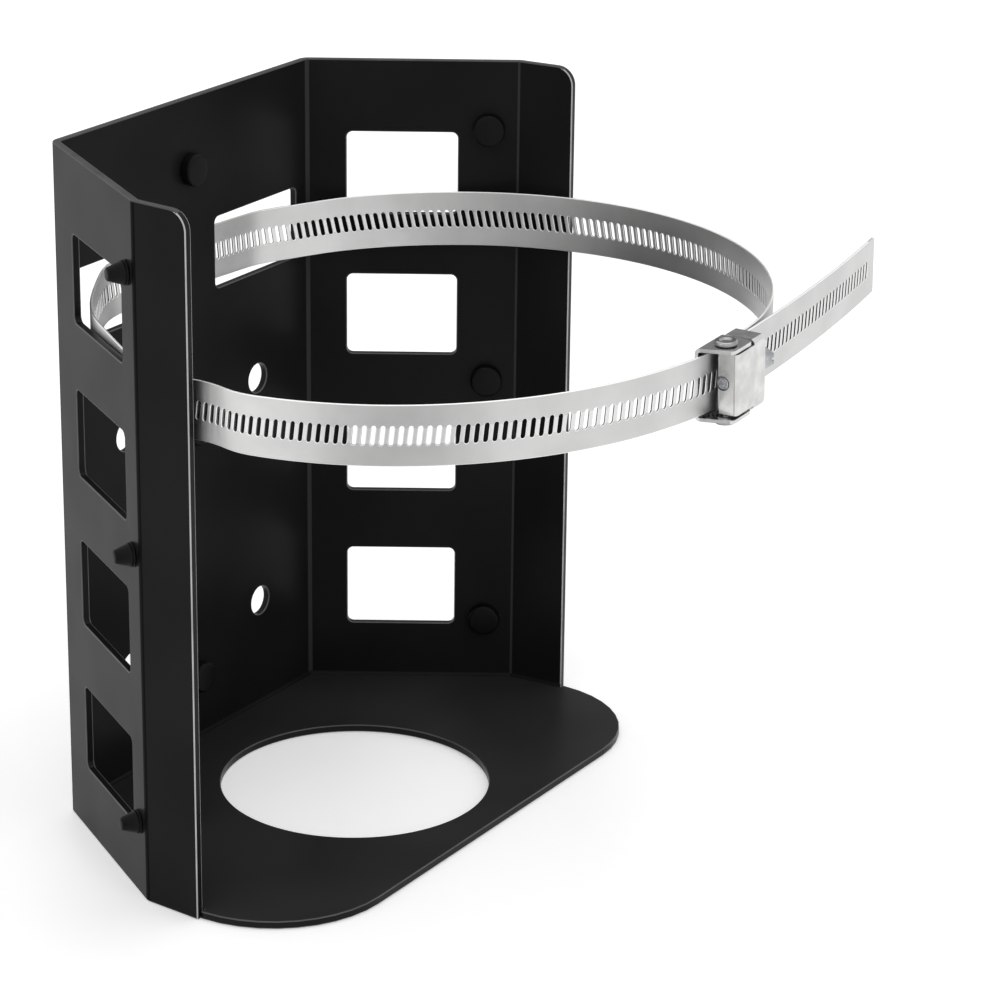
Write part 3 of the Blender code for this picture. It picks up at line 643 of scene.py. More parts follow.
def makeBase():
    b = baseSizes
    corner, fold, end = innerCorners(shellSizes["sheet"] + b["gap"])
    step = end.y - b["gap"]
    front = [Vector((b["halfWidth"], step)), Vector((b["halfWidth"], -b["reach"]))]
    right = [corner, fold, Vector((end.x, step)), *front]
    radii = [shellSizes["bendRadius"], 0, 0, 0, b["corner"]]
    outline = roundedPath(right + mirrored(right), radii + radii[::-1])
    hole = circlePoints(0, -b["holeCentre"], b["holeDiameter"], b["holeSides"])
    bm = sheetBlank("base_sheet", [outline, hole], b["thickness"], b["rim"])
    markRims(bm, lambda place: "base")
    bmesh.ops.translate(bm, verts=bm.verts, vec=(0, 0, ground))
    base = newPiece("base_sheet", meshFrom(bm, "base_sheet"), baseCoatPaintedLight, coatEdge)
    softNormals(base)
    settle(base, "bracket", "black_coat", "base_plate")


def makeWeld():  # the thin coated fillet that joins the base to the walls
    b = baseSizes
    leg = b["weldLeg"]
    hollow = leg * b["weldHollow"]
    plans = []
    for inset in (0, hollow, leg):
        points = innerCorners(shellSizes["sheet"] + inset)
        radii = [0, max(shellSizes["bendRadius"] - inset, b["weldBend"]), b["weldBend"], 0]
        half = roundedPath([Vector((0, points[0].y)), *points], radii, closed=False)[1:]
        plans.append(mirrored(half) + half)
    top = ground + b["thickness"]
    section = [(0, leg), (1, hollow), (2, 0), (0, 0)]  # plan and height
    bm = bmesh.new()
    count = min(len(plan) for plan in plans)
    rings = [[bm.verts.new((*plans[k][i], top + rise)) for k, rise in section] for i in range(count)]
    joinRings(bm, rings)
    bm.faces.new(rings[0])
    bm.faces.new(rings[-1])
    weld = newPiece("base_weld", meshFrom(bm, "base_weld"), coat)
    smoothed(weld.data, b["weldSharp"])
    settle(weld, "bracket", "black_coat")


makeBase()
makeWeld()
print("base made")


# Rubber bumpers: one turned plug, put at each seat by a node tree
def plugProfile(trimmed):  # from the tail's end to the head's face, the wall's outer face at z = 0
    s = bumperSizes
    edge = s["edge"]
    inside = -shellSizes["sheet"] - s["gap"]
    face = inside - s["headThickness"]
    tip, tail, barb, head = [s[name + "Radius"] for name in ("tip", "tail", "barb", "head")]
    if trimmed:
        end = s["trimmedLength"]
        points = [(0, end), (tail - 2 * edge, end), (tail, end - 2 * edge), (tail, s["gap"])]
    else:
        end = s["tailLength"]
        soft = s["tipEdge"]
        points = [(0, end), (tip - soft, end)]
        for angle in spaced(pi / 8, pi / 2, 4):
            points.append((tip - soft * (1 - sin(angle)), end - soft * (1 - cos(angle))))
        steps = zip((tail - edge, tail + edge, barb - 2 * edge, barb), s["barbSteps"])
        points += [(radius, share * s["barbLength"]) for radius, share in steps]
        points.append((barb, s["gap"]))
    points += [(s["neckRadius"], s["gap"]), (s["neckRadius"], inside), (head - edge, inside)]
    points.append((head, inside - edge))
    soft = s["headEdge"]
    for angle in spaced(0, pi / 2, 6):
        points.append((head - soft * (1 - cos(angle)), face + soft * (1 - sin(angle))))
    across, rise = s["crownStep"]
    return points + [(across * head, face - rise * s["crown"]), (0, face - s["crown"])]


def seatGuide(name, seats):  # a point at each seat, with its outward direction
    mesh = bpy.data.meshes.new(name)
    mesh.from_pydata([place for place, _ in seats], [], [])
    outward = mesh.attributes.new("outward", "FLOAT_VECTOR", "POINT")
    for item, (_, direction) in zip(outward.data, seats):
        item.vector = direction
    return mesh


def nodeGroup(name, inputs, output):  # a geometry node tree with named inputs, and their sockets
    tree = bpy.data.node_groups.new(name, "GeometryNodeTree")
    for label, kind in inputs.items():
        tree.interface.new_socket(label, in_out="INPUT", socket_type=f"NodeSocket{kind}")
    tree.interface.new_socket(output, in_out="OUTPUT", socket_type="NodeSocketGeometry")
    return tree, addNode(tree, "NodeGroupInput").outputs


def seatTree():
    inputs = {"Seats": "Geometry", "Plug": "Object", "Look": "Material"}
    tree, given = nodeGroup("plugsAtSeats", inputs, "Plugs")
    plug = addNode(tree, "GeometryNodeObjectInfo", {"Object": given["Plug"]}).outputs["Geometry"]
    outward = addNode(tree, "GeometryNodeInputNamedAttribute", {"Name": "outward"}, data_type="FLOAT_VECTOR")
    direction = {"Vector": outward.outputs["Attribute"]}
    turned = addNode(tree, "FunctionNodeAlignRotationToVector", direction, axis="Z")
    seats = {"Points": given["Seats"], "Instance": plug, "Rotation": turned}
    placed = addNode(tree, "GeometryNodeInstanceOnPoints", seats)
    whole = addNode(tree, "GeometryNodeRealizeInstances", {"Geometry": placed})
    looked = addNode(tree, "GeometryNodeSetMaterial", {"Geometry": whole, "Material": given["Look"]})
    addNode(tree, "NodeGroupOutput", {"Plugs": looked})
    return tree


def giveInputs(modifier, tree, values):  # each value goes to the socket of that name, by its identifier
    modifier.node_group = tree
    for item in tree.interface.items_tree:
        if item.in_out == "INPUT" and item.name in values:
            modifier[item.identifier] = values[item.name]


def bumperSeats():
    backs, flanks = [], []
    angle = shellSizes["flankAngle"]
    for height in bumperHeights():
        level = ground + height
        backs.append((Vector((0, 0, level)), Vector((0, 1, 0))))
        for side, name in ((-1, "left"), (1, "right")):
            along = Vector((side * cos(angle), -sin(angle), 0))
            place = Vector((side * shellSizes["wallHalf"], 0, level)) + along * bumperSizes[name]
            flanks.append((place, Vector((side * sin(angle), cos(angle), 0))))
    return backs, flanks


def makeBumpers():
    tree = seatTree()
    backs, flanks = bumperSeats()
    for kind, seats, walls in (("trimmed", backs, ["back"]), ("whole", flanks, ["left", "right"])):
        mesh = turnedMesh("plug", plugProfile(kind == "trimmed"))
        smoothed(mesh, bumperSizes["sharp"])
        plug = newPiece("plug", mesh, rubber)
        name = f"rubber_bumpers_{kind}"
        bumpers = newPiece(name, seatGuide(name, seats))
        giveInputs(addModifier(bumpers, "NODES"), tree, {"Plug": plug, "Look": rubber})
        plainMesh(bumpers)
        removeAll([plug])
        nodes = [f"bumper_{wall}_{i + 1}" for wall in walls for i in range(bumperSizes["count"])]
        settle(bumpers, "bracket", "black_rubber", *nodes)


makeBumpers()
print("bumpers seated")


# Slotted band: one pitch of strip, repeated along the loop by a node tree
bandSizes = {
    "width": 0.0165,
    "thickness": 0.0007,
    "pitch": 0.00241,
    "slotLength": 0.0053,
    "slotWidth": 0.0012,
    "slotLean": radians(9),
    "slotRim": 0.00016,
    "slotSides": 10,
    "barPaintedHighlight": 0.35,  # how much painted highlight the bars between the slots take
    "edge": 0.0002,
    "merge": 0.000004,  # points of neighbouring pitches nearer than this are one
    "sidePlay": 0.0016,  # between the loop and the flanges' ends
    "shift": -0.00277,  # of the loop's middle from the bracket's
    "halfDepth": 0.09736,
    "centre": 0.08476,
    "backStart": 0.019,  # in front of the wall, where the loop's arc ends
    "frontEnd": radians(76),  # of the arc, from the side towards the buckle
    "arcPoints": 60,
    "entryDistance": 0.011,  # in front of the wall, where the band turns in to its window
    "entryOutside": 0.005,
    "wallLeave": 0.0155,  # from the window's outer jamb to where it lies behind the wall
    "pathStep": 0.001,
    "easePasses": 2,
    "easePoints": 5,
    "riseRight": 0.045,  # slopes of the loop
    "riseFront": 0.033,
    "sag": 0.00375,  # below the middle of the windows
    "lift": 0.0052,  # over the left window's sill
    "liftReach": 0.09,
    "flankClearance": 0.001,
    "flangePass": 0.009,
    "tailLength": 0.0845,
    "tailRadius": 0.604,
    "tailStart": radians(1.15),  # the tail's first heading, from where it curls inwards
    "tailPoints": 12,
    "tailCorner": 0.001,
    "gap": 0.0003,
}
buckleSizes = {
    "place": -0.007,
    "setback": 0.0004,  # of the flat run under the buckle, from the loop's front
    "straight": 0.0066,  # flat run to the right of the housing
    "tipInset": 0.0015,  # of the outer layer from the saddle's tip
    "innerEnd": 0.0055,  # and of the inner layer
    "saddleSheet": 0.001,
    "saddleBend": 0.0006,
    "saddleReach": 0.016,  # of the blank, before its outline is cut
    "saddleRim": 0.00014,
    "sidePlay": 0.0009,
    "saddleTip": 0.0101,
    "saddleTipEdge": 0.0016,
    "saddleLeft": 0.0075,
    "saddleRight": 0.0026,
    "saddleCorners": (0, 0.001, 0.0015, 0.0015, 0),
    "overhang": 0.0001,  # of the saddle's ears past the housing
    "housingSheet": 0.0007,
    "housingLeft": 0.0058,
    "housingRight": 0.0102,
    "housingDepth": 0.0061,
    "housingHeight": 0.017,
    "housingEdge": 0.001,
    "housingInnerEdge": 0.0004,
    "housingRim": 0.00012,
    "openGap": 0.00115,  # between the band and the housing's open side
    "guideLength": 0.0088,
    "guideGap": 0.001,  # between the saddle and the guides
    "pivotSetback": 0.002,
    "pivotOffset": 0.00015,
    "pivotDiameter": 0.0022,
    "bore": 0.0003,
    "gap": 0.0003,
    "past": 0.004,  # how far a cutter stands past what it cuts
    "roundFrom": radians(35),  # edges that turn less than this stay as they are
}
buckleLine = -bandSizes["centre"] - bandSizes["halfDepth"] + buckleSizes["setback"]


def halfWidthInside(y):  # between the flanks or flanges, at a distance in front of the wall
    corner, fold, end = innerCorners(shellSizes["sheet"])
    if y < end.y - bandSizes["flangePass"]:
        return inf
    if y < fold.y:
        return min(fold.x, end.x)
    return corner.x + (fold.x - corner.x) * (y - corner.y) / (fold.y - corner.y)


def loopPoint(angle):
    end = innerCorners(shellSizes["sheet"])[2]
    x = bandSizes["shift"] + (end.x - bandSizes["sidePlay"]) * cos(angle)
    y = -bandSizes["centre"] + bandSizes["halfDepth"] * sin(angle)
    limit = halfWidthInside(y) - bandSizes["flankClearance"]
    return Vector((max(-limit, min(limit, x)), y))


def bandPlan():  # from the fixed inner end, round the loop and out to the free end
    b, k = bandSizes, buckleSizes
    inner = buckleLine + b["thickness"] + b["gap"]
    behind = b["thickness"] / 2 + b["gap"]
    tip = k["place"] - k["saddleTip"]
    right = k["place"] + k["housingRight"] + k["straight"]
    outerJamb = shellSizes["bandWindow"][1]
    leave = outerJamb - b["wallLeave"]
    enter = outerJamb + b["entryOutside"]
    back = asin((b["centre"] - b["backStart"]) / b["halfDepth"])
    plan = [Vector((tip + k["innerEnd"], inner)), Vector((right, inner))]
    plan += [loopPoint(angle) for angle in spaced(-b["frontEnd"], back, b["arcPoints"])]
    plan += [Vector((enter, -b["entryDistance"])), Vector((leave, behind))]
    plan += [Vector((-leave, behind)), Vector((-enter, -b["entryDistance"]))]
    plan += [loopPoint(angle) for angle in spaced(pi - back, pi + b["frontEnd"], b["arcPoints"])]
    start = Vector((right, buckleLine))
    plan += [Vector((tip + k["tipInset"], buckleLine)), start]
    for turned in spaced(0, b["tailLength"] / b["tailRadius"], b["tailPoints"])[1:]:
        heading = b["tailStart"] + turned
        reach = sin(heading) - sin(b["tailStart"])
        inwards = cos(b["tailStart"]) - cos(heading)
        plan.append(start + Vector((reach, inwards)) * b["tailRadius"])
    return plan


def evenly(points, step):  # the same path with points at even distances
    lengths = [0.0]
    for here, after in zip(points, points[1:]):
        lengths.append(lengths[-1] + (after - here).length)
    places = []
    i = 0
    for wanted in spaced(0, lengths[-1], round(lengths[-1] / step) + 1):
        while i < len(points) - 2 and lengths[i + 1] < wanted:
            i += 1
        places.append(points[i].lerp(points[i + 1], (wanted - lengths[i]) / (lengths[i + 1] - lengths[i])))
    return places


def eased(points):  # spring steel rounds each corner of its path
    result = []
    for i in range(len(points)):
        near = min(bandSizes["easePoints"], i, len(points) - 1 - i)
        window = points[i - near : i + near + 1]
        result.append(sum(window, Vector((0, 0))) / len(window))
    return result


def bandHeight(x, y):  # a sloping loop, lifted over the left window's sill
    b = bandSizes
    sill = Vector((-sum(shellSizes["bandWindow"]) / 2, 0))
    near = min((Vector((x, y)) - sill).length / b["liftReach"], 1)
    lift = b["lift"] * cos(near * pi / 2) ** 2
    middle = ground + shellSizes["height"] - shellSizes["bandWindowDrop"]
    return middle - b["sag"] + b["riseRight"] * x - b["riseFront"] * y + lift


def bandPath():
    plan = evenly(bandPlan(), bandSizes["pathStep"])
    for _ in range(bandSizes["easePasses"]):
        plan = eased(plan)
    plan = evenly(plan, bandSizes["pitch"])
    route = bpy.data.curves.new("band_route", "CURVE")
    route.dimensions = "3D"
    addLine(route, [(place.x, place.y, bandHeight(place.x, place.y)) for place in plan])
    return newObject("band_route", route), len(plan) - 3  # a pitch and a half at each end has no slot


def slotRing(grow, depth):  # the slot's outline, grown by the rim, as a leaning oval
    b = bandSizes
    radius = b["slotWidth"] / 2 + grow
    straight = b["slotLength"] / 2 - b["slotWidth"] / 2
    lean = tan(b["slotLean"])
    points = []
    for end in (1, -1):
        for angle in spaced(0, pi, b["slotSides"] // 2):
            x = end * cos(angle) * radius
            z = end * (straight + sin(angle) * radius)
            points.append((b["pitch"] / 2 + x + lean * z, depth, z))
    return points


def sectionPoints(limit=inf):  # the strip's section from the front's foot up, over and down the back
    b = bandSizes
    half = b["width"] / 2
    edge = b["edge"]
    level = b["slotLength"] / 2 - b["slotWidth"] / 2
    back = b["thickness"] / 2
    inner = back - edge
    rows = [(-back, -half + edge), (-back, -level), (-back, level), (-back, half - edge), (-inner, half)]
    rows += [(inner, half), (back, half - edge), (back, level), (back, -level), (back, -half + edge)]
    rows += [(inner, -half), (-inner, -half)]
    return [(y, max(-limit, min(limit, z))) for y, z in rows]


def slotCell():  # a pitch of strip round one slot
    b = bandSizes
    sides = b["slotSides"]
    bm = bmesh.new()
    stripPaintedHighlight = bm.faces.layers.float.new("stripPaintedHighlight")
    slotWallPaintedShade = bm.faces.layers.float.new("slotWallPaintedShade")
    rim = [[bm.verts.new((x, y, z)) for y, z in sectionPoints()] for x in (0, b["pitch"] / 2, b["pitch"])]
    front = -b["thickness"] / 2
    depths = [(b["slotRim"], front), (0, front + b["slotRim"])]
    depths += [(0, -front - b["slotRim"]), (b["slotRim"], -front)]
    rings = [[bm.verts.new(point) for point in slotRing(grow, depth)] for grow, depth in depths]
    # the slot's rims take the painted highlight and its wall the painted shade
    for here, after, kind in zip(rings, rings[1:], (stripPaintedHighlight, slotWallPaintedShade, stripPaintedHighlight)):
        for face in joinRings(bm, [here, after]):
            face[kind] = 1
    left, middle, right = rim
    for ring, foot, low, high, head in ((rings[0], 0, 1, 2, 3), (rings[3], 9, 8, 7, 6)):
        bm.faces.new((ring[9], ring[0], right[high], right[low]))[stripPaintedHighlight] = b["barPaintedHighlight"]
        bm.faces.new((ring[4], ring[5], left[low], left[high]))[stripPaintedHighlight] = b["barPaintedHighlight"]
        bm.faces.new((*ring[0:3], middle[head], right[head], right[high]))
        bm.faces.new((*ring[2:5], left[high], left[head], middle[head]))
        bm.faces.new((*ring[5:8], middle[foot], left[foot], left[low]))
        bm.faces.new((*ring[7:sides], right[low], right[foot], middle[foot]))
    # the strip's edges, above and below, take the painted highlight
    for here, after in zip(rim, rim[1:]):
        for i in (3, 4, 5, 9, 10, 11):  # the strip's own edges, above and below
            j = (i + 1) % len(here)
            bm.faces.new((here[i], here[j], after[j], after[i]))[stripPaintedHighlight] = 1
    for vert in [v for v in bm.verts if not v.link_faces]:
        bm.verts.remove(vert)
    return meshFrom(bm, "slot_cell")


def endCell(free):  # the plain end of the strip, closed, with rounded corners when it is the free end
    corner = bandSizes["tailCorner"]
    length = 2 * bandSizes["pitch"]
    half = bandSizes["width"] / 2
    stations = [(0, half)]
    for angle in spaced(0, pi / 2, 4) if free else []:
        stations.append((length - corner * (1 - sin(angle)), half - corner * (1 - cos(angle))))
    bm = bmesh.new()
    rings = [[bm.verts.new((x, y, z)) for y, z in sectionPoints(limit)] for x, limit in stations]
    joinRings(bm, rings)
    bm.faces.new(rings[-1])
    bmesh.ops.remove_doubles(bm, verts=bm.verts, dist=cutWithin)
    return meshFrom(bm, "strip_end")


def bandTree():
    inputs = {"Start": "Geometry", "Cell": "Object", "End": "Object", "Route": "Object"}
    inputs.update({"Slots": "Int", "Pitch": "Float", "Look": "Material"})
    tree, given = nodeGroup("slottedStrip", inputs, "Strip")
    cell, end, route = [
        addNode(tree, "GeometryNodeObjectInfo", {"Object": given[name]}).outputs["Geometry"]
        for name in ("Cell", "End", "Route")
    ]
    # Cells in a row, with an end before and after
    offset = addNode(tree, "ShaderNodeCombineXYZ", {"X": given["Pitch"]})
    line = addNode(tree, "GeometryNodeMeshLine", {"Count": given["Slots"], "Offset": offset})
    cells = addNode(tree, "GeometryNodeInstanceOnPoints", {"Points": line, "Instance": cell})
    reach = addNode(tree, "ShaderNodeMath", {0: given["Pitch"], 1: given["Slots"]}, operation="MULTIPLY")
    far = addNode(tree, "ShaderNodeCombineXYZ", {"X": reach})
    last = addNode(tree, "GeometryNodeTransform", {"Geometry": end, "Translation": far})
    joined = addNode(tree, "GeometryNodeJoinGeometry")
    for piece in (given["Start"], cells, last):
        setInputs(joined, {"Geometry": piece})
    whole = addNode(tree, "GeometryNodeRealizeInstances", {"Geometry": joined})
    merge = {"Geometry": whole, "Distance": bandSizes["merge"]}
    welded = addNode(tree, "GeometryNodeMergeByDistance", merge)
    # The flat strip's places are kept for the rolling lines
    place = addNode(tree, "GeometryNodeInputPosition")
    flat = addNode(tree, "ShaderNodeSeparateXYZ", {"Vector": place}).outputs
    laid = addNode(tree, "ShaderNodeCombineXYZ", {"X": flat["X"], "Y": flat["Z"]})
    kept = {"Geometry": welded, "Name": "UVMap", "Value": laid}
    mapped = addNode(tree, "GeometryNodeStoreNamedAttribute", kept, data_type="FLOAT2", domain="CORNER")
    # Then it is wound along the route, upright
    at = {"Curves": route, "Length": flat["X"]}
    along = addNode(tree, "GeometryNodeSampleCurve", at, mode="LENGTH").outputs
    sums = "ShaderNodeVectorMath"
    across = addNode(tree, sums, {0: (0.0, 0.0, 1.0), 1: along["Tangent"]}, operation="CROSS_PRODUCT")
    across = addNode(tree, sums, {0: across}, operation="NORMALIZE")
    up = addNode(tree, sums, {0: along["Tangent"], 1: across}, operation="CROSS_PRODUCT")
    outward = addNode(tree, sums, {0: across, "Scale": flat["Y"]}, operation="SCALE")
    upward = addNode(tree, sums, {0: up, "Scale": flat["Z"]}, operation="SCALE")
    aside = addNode(tree, sums, {0: outward, 1: upward}, operation="ADD")
    final = addNode(tree, sums, {0: along["Position"], 1: aside}, operation="ADD")
    wound = addNode(tree, "GeometryNodeSetPosition", {"Geometry": mapped, "Position": final})
    looked = addNode(tree, "GeometryNodeSetMaterial", {"Geometry": wound, "Material": given["Look"]})
    addNode(tree, "NodeGroupOutput", {"Strip": looked})
    return tree


def makeBand():
    guide, slots = bandPath()
    cell = newPiece("slot_cell", slotCell())
    end = newPiece("strip_end", endCell(True))
    band = newPiece("slotted_band", endCell(False))
    values = {"Cell": cell, "End": end, "Route": guide, "Slots": slots}
    values.update({"Pitch": bandSizes["pitch"], "Look": strip})
    giveInputs(addModifier(band, "NODES"), bandTree(), values)
    plainMesh(band)
    removeAll([guide, cell, end])
    softNormals(band)
    settle(band, "bracket", "stainless_band", "clamp_band")


makeBand()
print("band wound")


# Buckle pieces are made in the buckle's own frame: x along the band, y inwards, z across it
wormSizes = {
    "clearance": 0.00035,
    "diameter": 0.0053,
    "root": 0.0037,
    "boss": 0.0034,
    "bossStand": 0.0002,
    "bossEdge": 0.0002,
    "stake": ((0.45, 0), (0.55, 0.0001), (0.66, 0)),  # ring pressed in the boss: share of radius and depth
    "shank": 0.0038,
    "neck": 0.0012,
    "acrossFlats": 0.005,
    "headLength": 0.0062,
    "slotWidth": 0.0009,
    "slotDepth": 0.0012,
    "threadCrest": 1.4,
    "angleSteps": 48,
    "stepsATurn": 20,
    "sharp": 40,
}
rivetSizes = {
    "rise": 0.0011,
    "edge": 0.0001,
    "face": (  # radius and drop from the top: the dimple, the rolled rim and the head's edge
        (0, 0.00048),
        (0.001, 0.00046),
        (0.0014, 0.0004),
        (0.0017, 0.00012),
        (0.002, 0.00001),
        (0.0025, 0.00001),
        (0.0028, 0.00012),
        (0.003, 0.0003),
        (0.0031, 0.00055),
    ),
    "sharp": 45,
}
bucklePlace = Vector((buckleSizes["place"], buckleLine, bandHeight(buckleSizes["place"], buckleLine)))
buckleLean = Matrix.Rotation(-atan(bandSizes["riseRight"]), 4, "Y")
buckleFrame = Matrix.Translation(bucklePlace) @ buckleLean
housingRear = -bandSizes["thickness"] / 2 - buckleSizes["openGap"]
housingFace = housingRear - buckleSizes["housingDepth"]
wormLine = -bandSizes["thickness"] / 2 - wormSizes["clearance"] - wormSizes["diameter"] / 2
pivotAlong = -buckleSizes["housingLeft"] + buckleSizes["pivotSetback"]
pivotPlace = Vector((pivotAlong, wormLine + buckleSizes["pivotOffset"], 0))
pivotBore = buckleSizes["pivotDiameter"] + 2 * buckleSizes["bore"]


def slab(outline, low, high):
    bm = bmesh.new()
    face = bm.faces.new([bm.verts.new((x, y, low)) for x, y in outline])
    raised = bmesh.ops.extrude_face_region(bm, geom=[face])["geom"]
    corners = [item for item in raised if isinstance(item, bmesh.types.BMVert)]
    bmesh.ops.translate(bm, verts=corners, vec=(0, 0, high - low))
    return meshFrom(bm, "slab")


def folded(path, low, high, flip=1):  # an open sheet along a path, from low to high across it
    bm = bmesh.new()
    rows = [[bm.verts.new((across, y, z * flip)) for across in (low, high)] for y, z in path]
    for here, after in zip(rows, rows[1:]):
        bm.faces.new((here[0], after[0], after[1], here[1]))
    return meshFrom(bm, "folded", outward=False)


def rod(diameter, low, high, axis="Z"):
    mesh = slab(circlePoints(0, 0, diameter, roundSides), low, high)
    if axis == "X":
        mesh.transform(Matrix.Rotation(pi / 2, 4, "Y"))
    return mesh


def helperOf(mesh, place=(0, 0, 0)):
    made = newObject("helper", mesh)
    made.location = place
    return made


def thicken(piece, thickness, offset):
    addModifier(piece, "SOLIDIFY", thickness=thickness, offset=offset, use_even_offset=True)


def cutBy(piece, tools, operation="DIFFERENCE"):
    for tool in tools:
        addModifier(piece, "BOOLEAN", operation=operation, object=tool, solver="EXACT")


def roundEdges(piece, width):
    limit = {"limit_method": "ANGLE", "angle_limit": buckleSizes["roundFrom"]}
    addModifier(piece, "BEVEL", width=width, segments=2, miter_outer="MITER_ARC", **limit)


def finishPressing(piece, tools, body, *nodes):
    plainMesh(piece)
    removeAll(tools)
    softNormals(piece)
    piece.data.transform(buckleFrame)
    settle(piece, body, "stainless_buckle", *nodes)


def makeSaddle():
    k = buckleSizes
    sheet = k["saddleSheet"]
    earOut = bandSizes["width"] / 2 + k["sidePlay"] + sheet
    back = 1.5 * bandSizes["thickness"] + 2 * k["gap"] + sheet
    front = housingFace - k["overhang"]
    bend = k["saddleBend"] + sheet
    section = [(front, earOut), (back, earOut), (back, -earOut), (front, -earOut)]
    path = roundedPath(section, [0, bend, bend, 0], closed=False)
    blank = folded(path, -k["saddleReach"], k["saddleReach"])
    saddle = newPiece("buckle_saddle_pressing", blank, pressing)
    thicken(saddle, sheet, 1)
    past = back + k["past"]
    plan = [(-k["saddleTip"], past), (-k["saddleTip"], back - k["saddleTipEdge"])]
    plan += [(-k["saddleLeft"], front), (k["saddleRight"], front), (k["saddleRight"], past)]
    outline = helperOf(slab(roundedPath(plan, k["saddleCorners"]), -2 * earOut, 2 * earOut))
    bore = helperOf(rod(pivotBore, -2 * earOut, 2 * earOut), pivotPlace)
    cutBy(saddle, [outline], "INTERSECT")
    cutBy(saddle, [bore])
    roundEdges(saddle, k["saddleRim"])
    finishPressing(saddle, [outline, bore], "bracket", "buckle_saddle")
    return earOut


def makeRivets(earOut):
    k, r = buckleSizes, rivetSizes
    seat = earOut + k["gap"]
    pin = k["pivotDiameter"] / 2
    foot = k["housingHeight"] / 2 - k["housingSheet"]
    points = [(radius, seat + r["rise"] - drop) for radius, drop in r["face"]]
    head = points[-1][0]
    points += [(head, seat + r["edge"]), (head - r["edge"], seat), (pin, seat), (pin, foot), (0, foot)]
    for name, turned in (("top", 0), ("bottom", pi)):
        mesh = turnedMesh(f"rivet_{name}", points)
        mesh.transform(Matrix.Rotation(turned, 4, "X"))
        mesh.transform(Matrix.Translation(pivotPlace))
        mesh.transform(buckleFrame)
        smoothed(mesh, r["sharp"])
        rivet = newPiece(f"rivet_{name}", mesh, rivetSteel)
        settle(rivet, "bracket", "stainless_buckle", f"pivot_rivet_{name}")


def makeHousing():
    k = buckleSizes
    half = k["housingHeight"] / 2
    sheet = k["housingSheet"]
    left, right = -k["housingLeft"], k["housingRight"]
    plan = roundedPath(boxPoints(left, right, housingFace, housingRear), [k["housingEdge"]] * 4)
    housing = newPiece("worm_housing", slab(plan, -half, half), pressing)
    inside = boxPoints(left + sheet, right - sheet, housingFace + sheet, housingRear + k["past"])
    room = roundedPath(inside, [k["housingInnerEdge"], k["housingInnerEdge"], 0, 0])
    wormPlace = (0, wormLine, 0)
    tools = [
        helperOf(slab(room, sheet - half, half - sheet)),
        helperOf(rod(pivotBore, -2 * half, 2 * half), pivotPlace),
        helperOf(rod(wormSizes["boss"] + 2 * k["bore"], 2 * left, 0, axis="X"), wormPlace),
        helperOf(rod(wormSizes["shank"] + 2 * k["bore"], 0, 2 * right, axis="X"), wormPlace),
    ]
    cutBy(housing, tools)
    rise = bandSizes["width"] / 2 + k["sidePlay"] + sheet
    section = [(housingFace, half - 2 * sheet), (housingFace, rise), (housingFace + k["guideLength"], rise)]
    path = roundedPath(section, [0, k["saddleBend"] + sheet, 0], closed=False)
    low = k["saddleRight"] + k["guideGap"]
    guides = [helperOf(folded(path, low, right - k["housingEdge"], flip)) for flip in (1, -1)]
    for guide, flip in zip(guides, (1, -1)):
        thicken(guide, sheet, flip)
    cutBy(housing, guides, "UNION")
    roundEdges(housing, k["housingRim"])
    finishPressing(housing, tools + guides, "housing", "clamp_housing")


def threadRadius(along, turn):
    root, crest = wormSizes["root"] / 2, wormSizes["diameter"] / 2
    wave = 0.5 + 0.5 * cos(2 * pi * (along / bandSizes["pitch"] - turn))
    return root + (crest - root) * min(1, wormSizes["threadCrest"] * wave)


def wormProfile():  # radius, or none where the thread sets it, and place along the axis
    w, k = wormSizes, buckleSizes
    left = -k["housingLeft"] - w["bossStand"]
    innerLeft = -k["housingLeft"] + k["housingSheet"] + k["gap"]
    innerRight = k["housingRight"] - k["housingSheet"] - k["gap"]
    start = innerLeft + w["diameter"] / 4
    stop = innerRight - w["diameter"] / 4
    count = round((stop - start) / bandSizes["pitch"] * w["stepsATurn"])
    boss, root, shank = w["boss"] / 2, w["root"] / 2, w["shank"] / 2
    inHead = k["housingRight"] + w["neck"] + w["headLength"] / 2
    rows = [(0, left)] + [(boss * share, left + depth) for share, depth in w["stake"]]
    rows += [(boss - w["bossEdge"], left), (boss, left + w["bossEdge"]), (boss, innerLeft), (root, innerLeft)]
    rows.append((root, start))
    rows += [(None, place) for place in spaced(start, stop, count + 1)[1:-1]]
    return rows + [(root, stop), (root, innerRight), (shank, innerRight), (shank, inHead), (0, inHead)]


def makeWorm():
    w = wormSizes
    start = buckleSizes["housingRight"] + w["neck"]
    stop = start + w["headLength"]
    half = w["slotWidth"] / 2
    slot = boxPoints(-half, half, -w["diameter"], w["diameter"])
    meshes = [
        turnedMesh("worm", wormProfile(), w["angleSteps"], threadRadius),
        slab(circlePoints(0, 0, w["acrossFlats"] / cos(pi / 6), 6), start, stop),
        slab(slot, stop - w["slotDepth"], stop + buckleSizes["past"]),
    ]
    for mesh in meshes:
        mesh.transform(Matrix.Translation((0, wormLine, 0)) @ Matrix.Rotation(pi / 2, 4, "Y"))
    worm = newPiece("worm_and_head", meshes[0], zinc)
    head, groove = [helperOf(mesh) for mesh in meshes[1:]]
    cutBy(worm, [head], "UNION")
    cutBy(worm, [groove])
    plainMesh(worm)
    removeAll([head, groove])
    worm.data.transform(buckleFrame)
    smoothed(worm.data, w["sharp"])
    settle(worm, "worm", "plated_screw", "worm_screw")


makeRivets(makeSaddle())
makeHousing()
makeWorm()
print("buckle built")


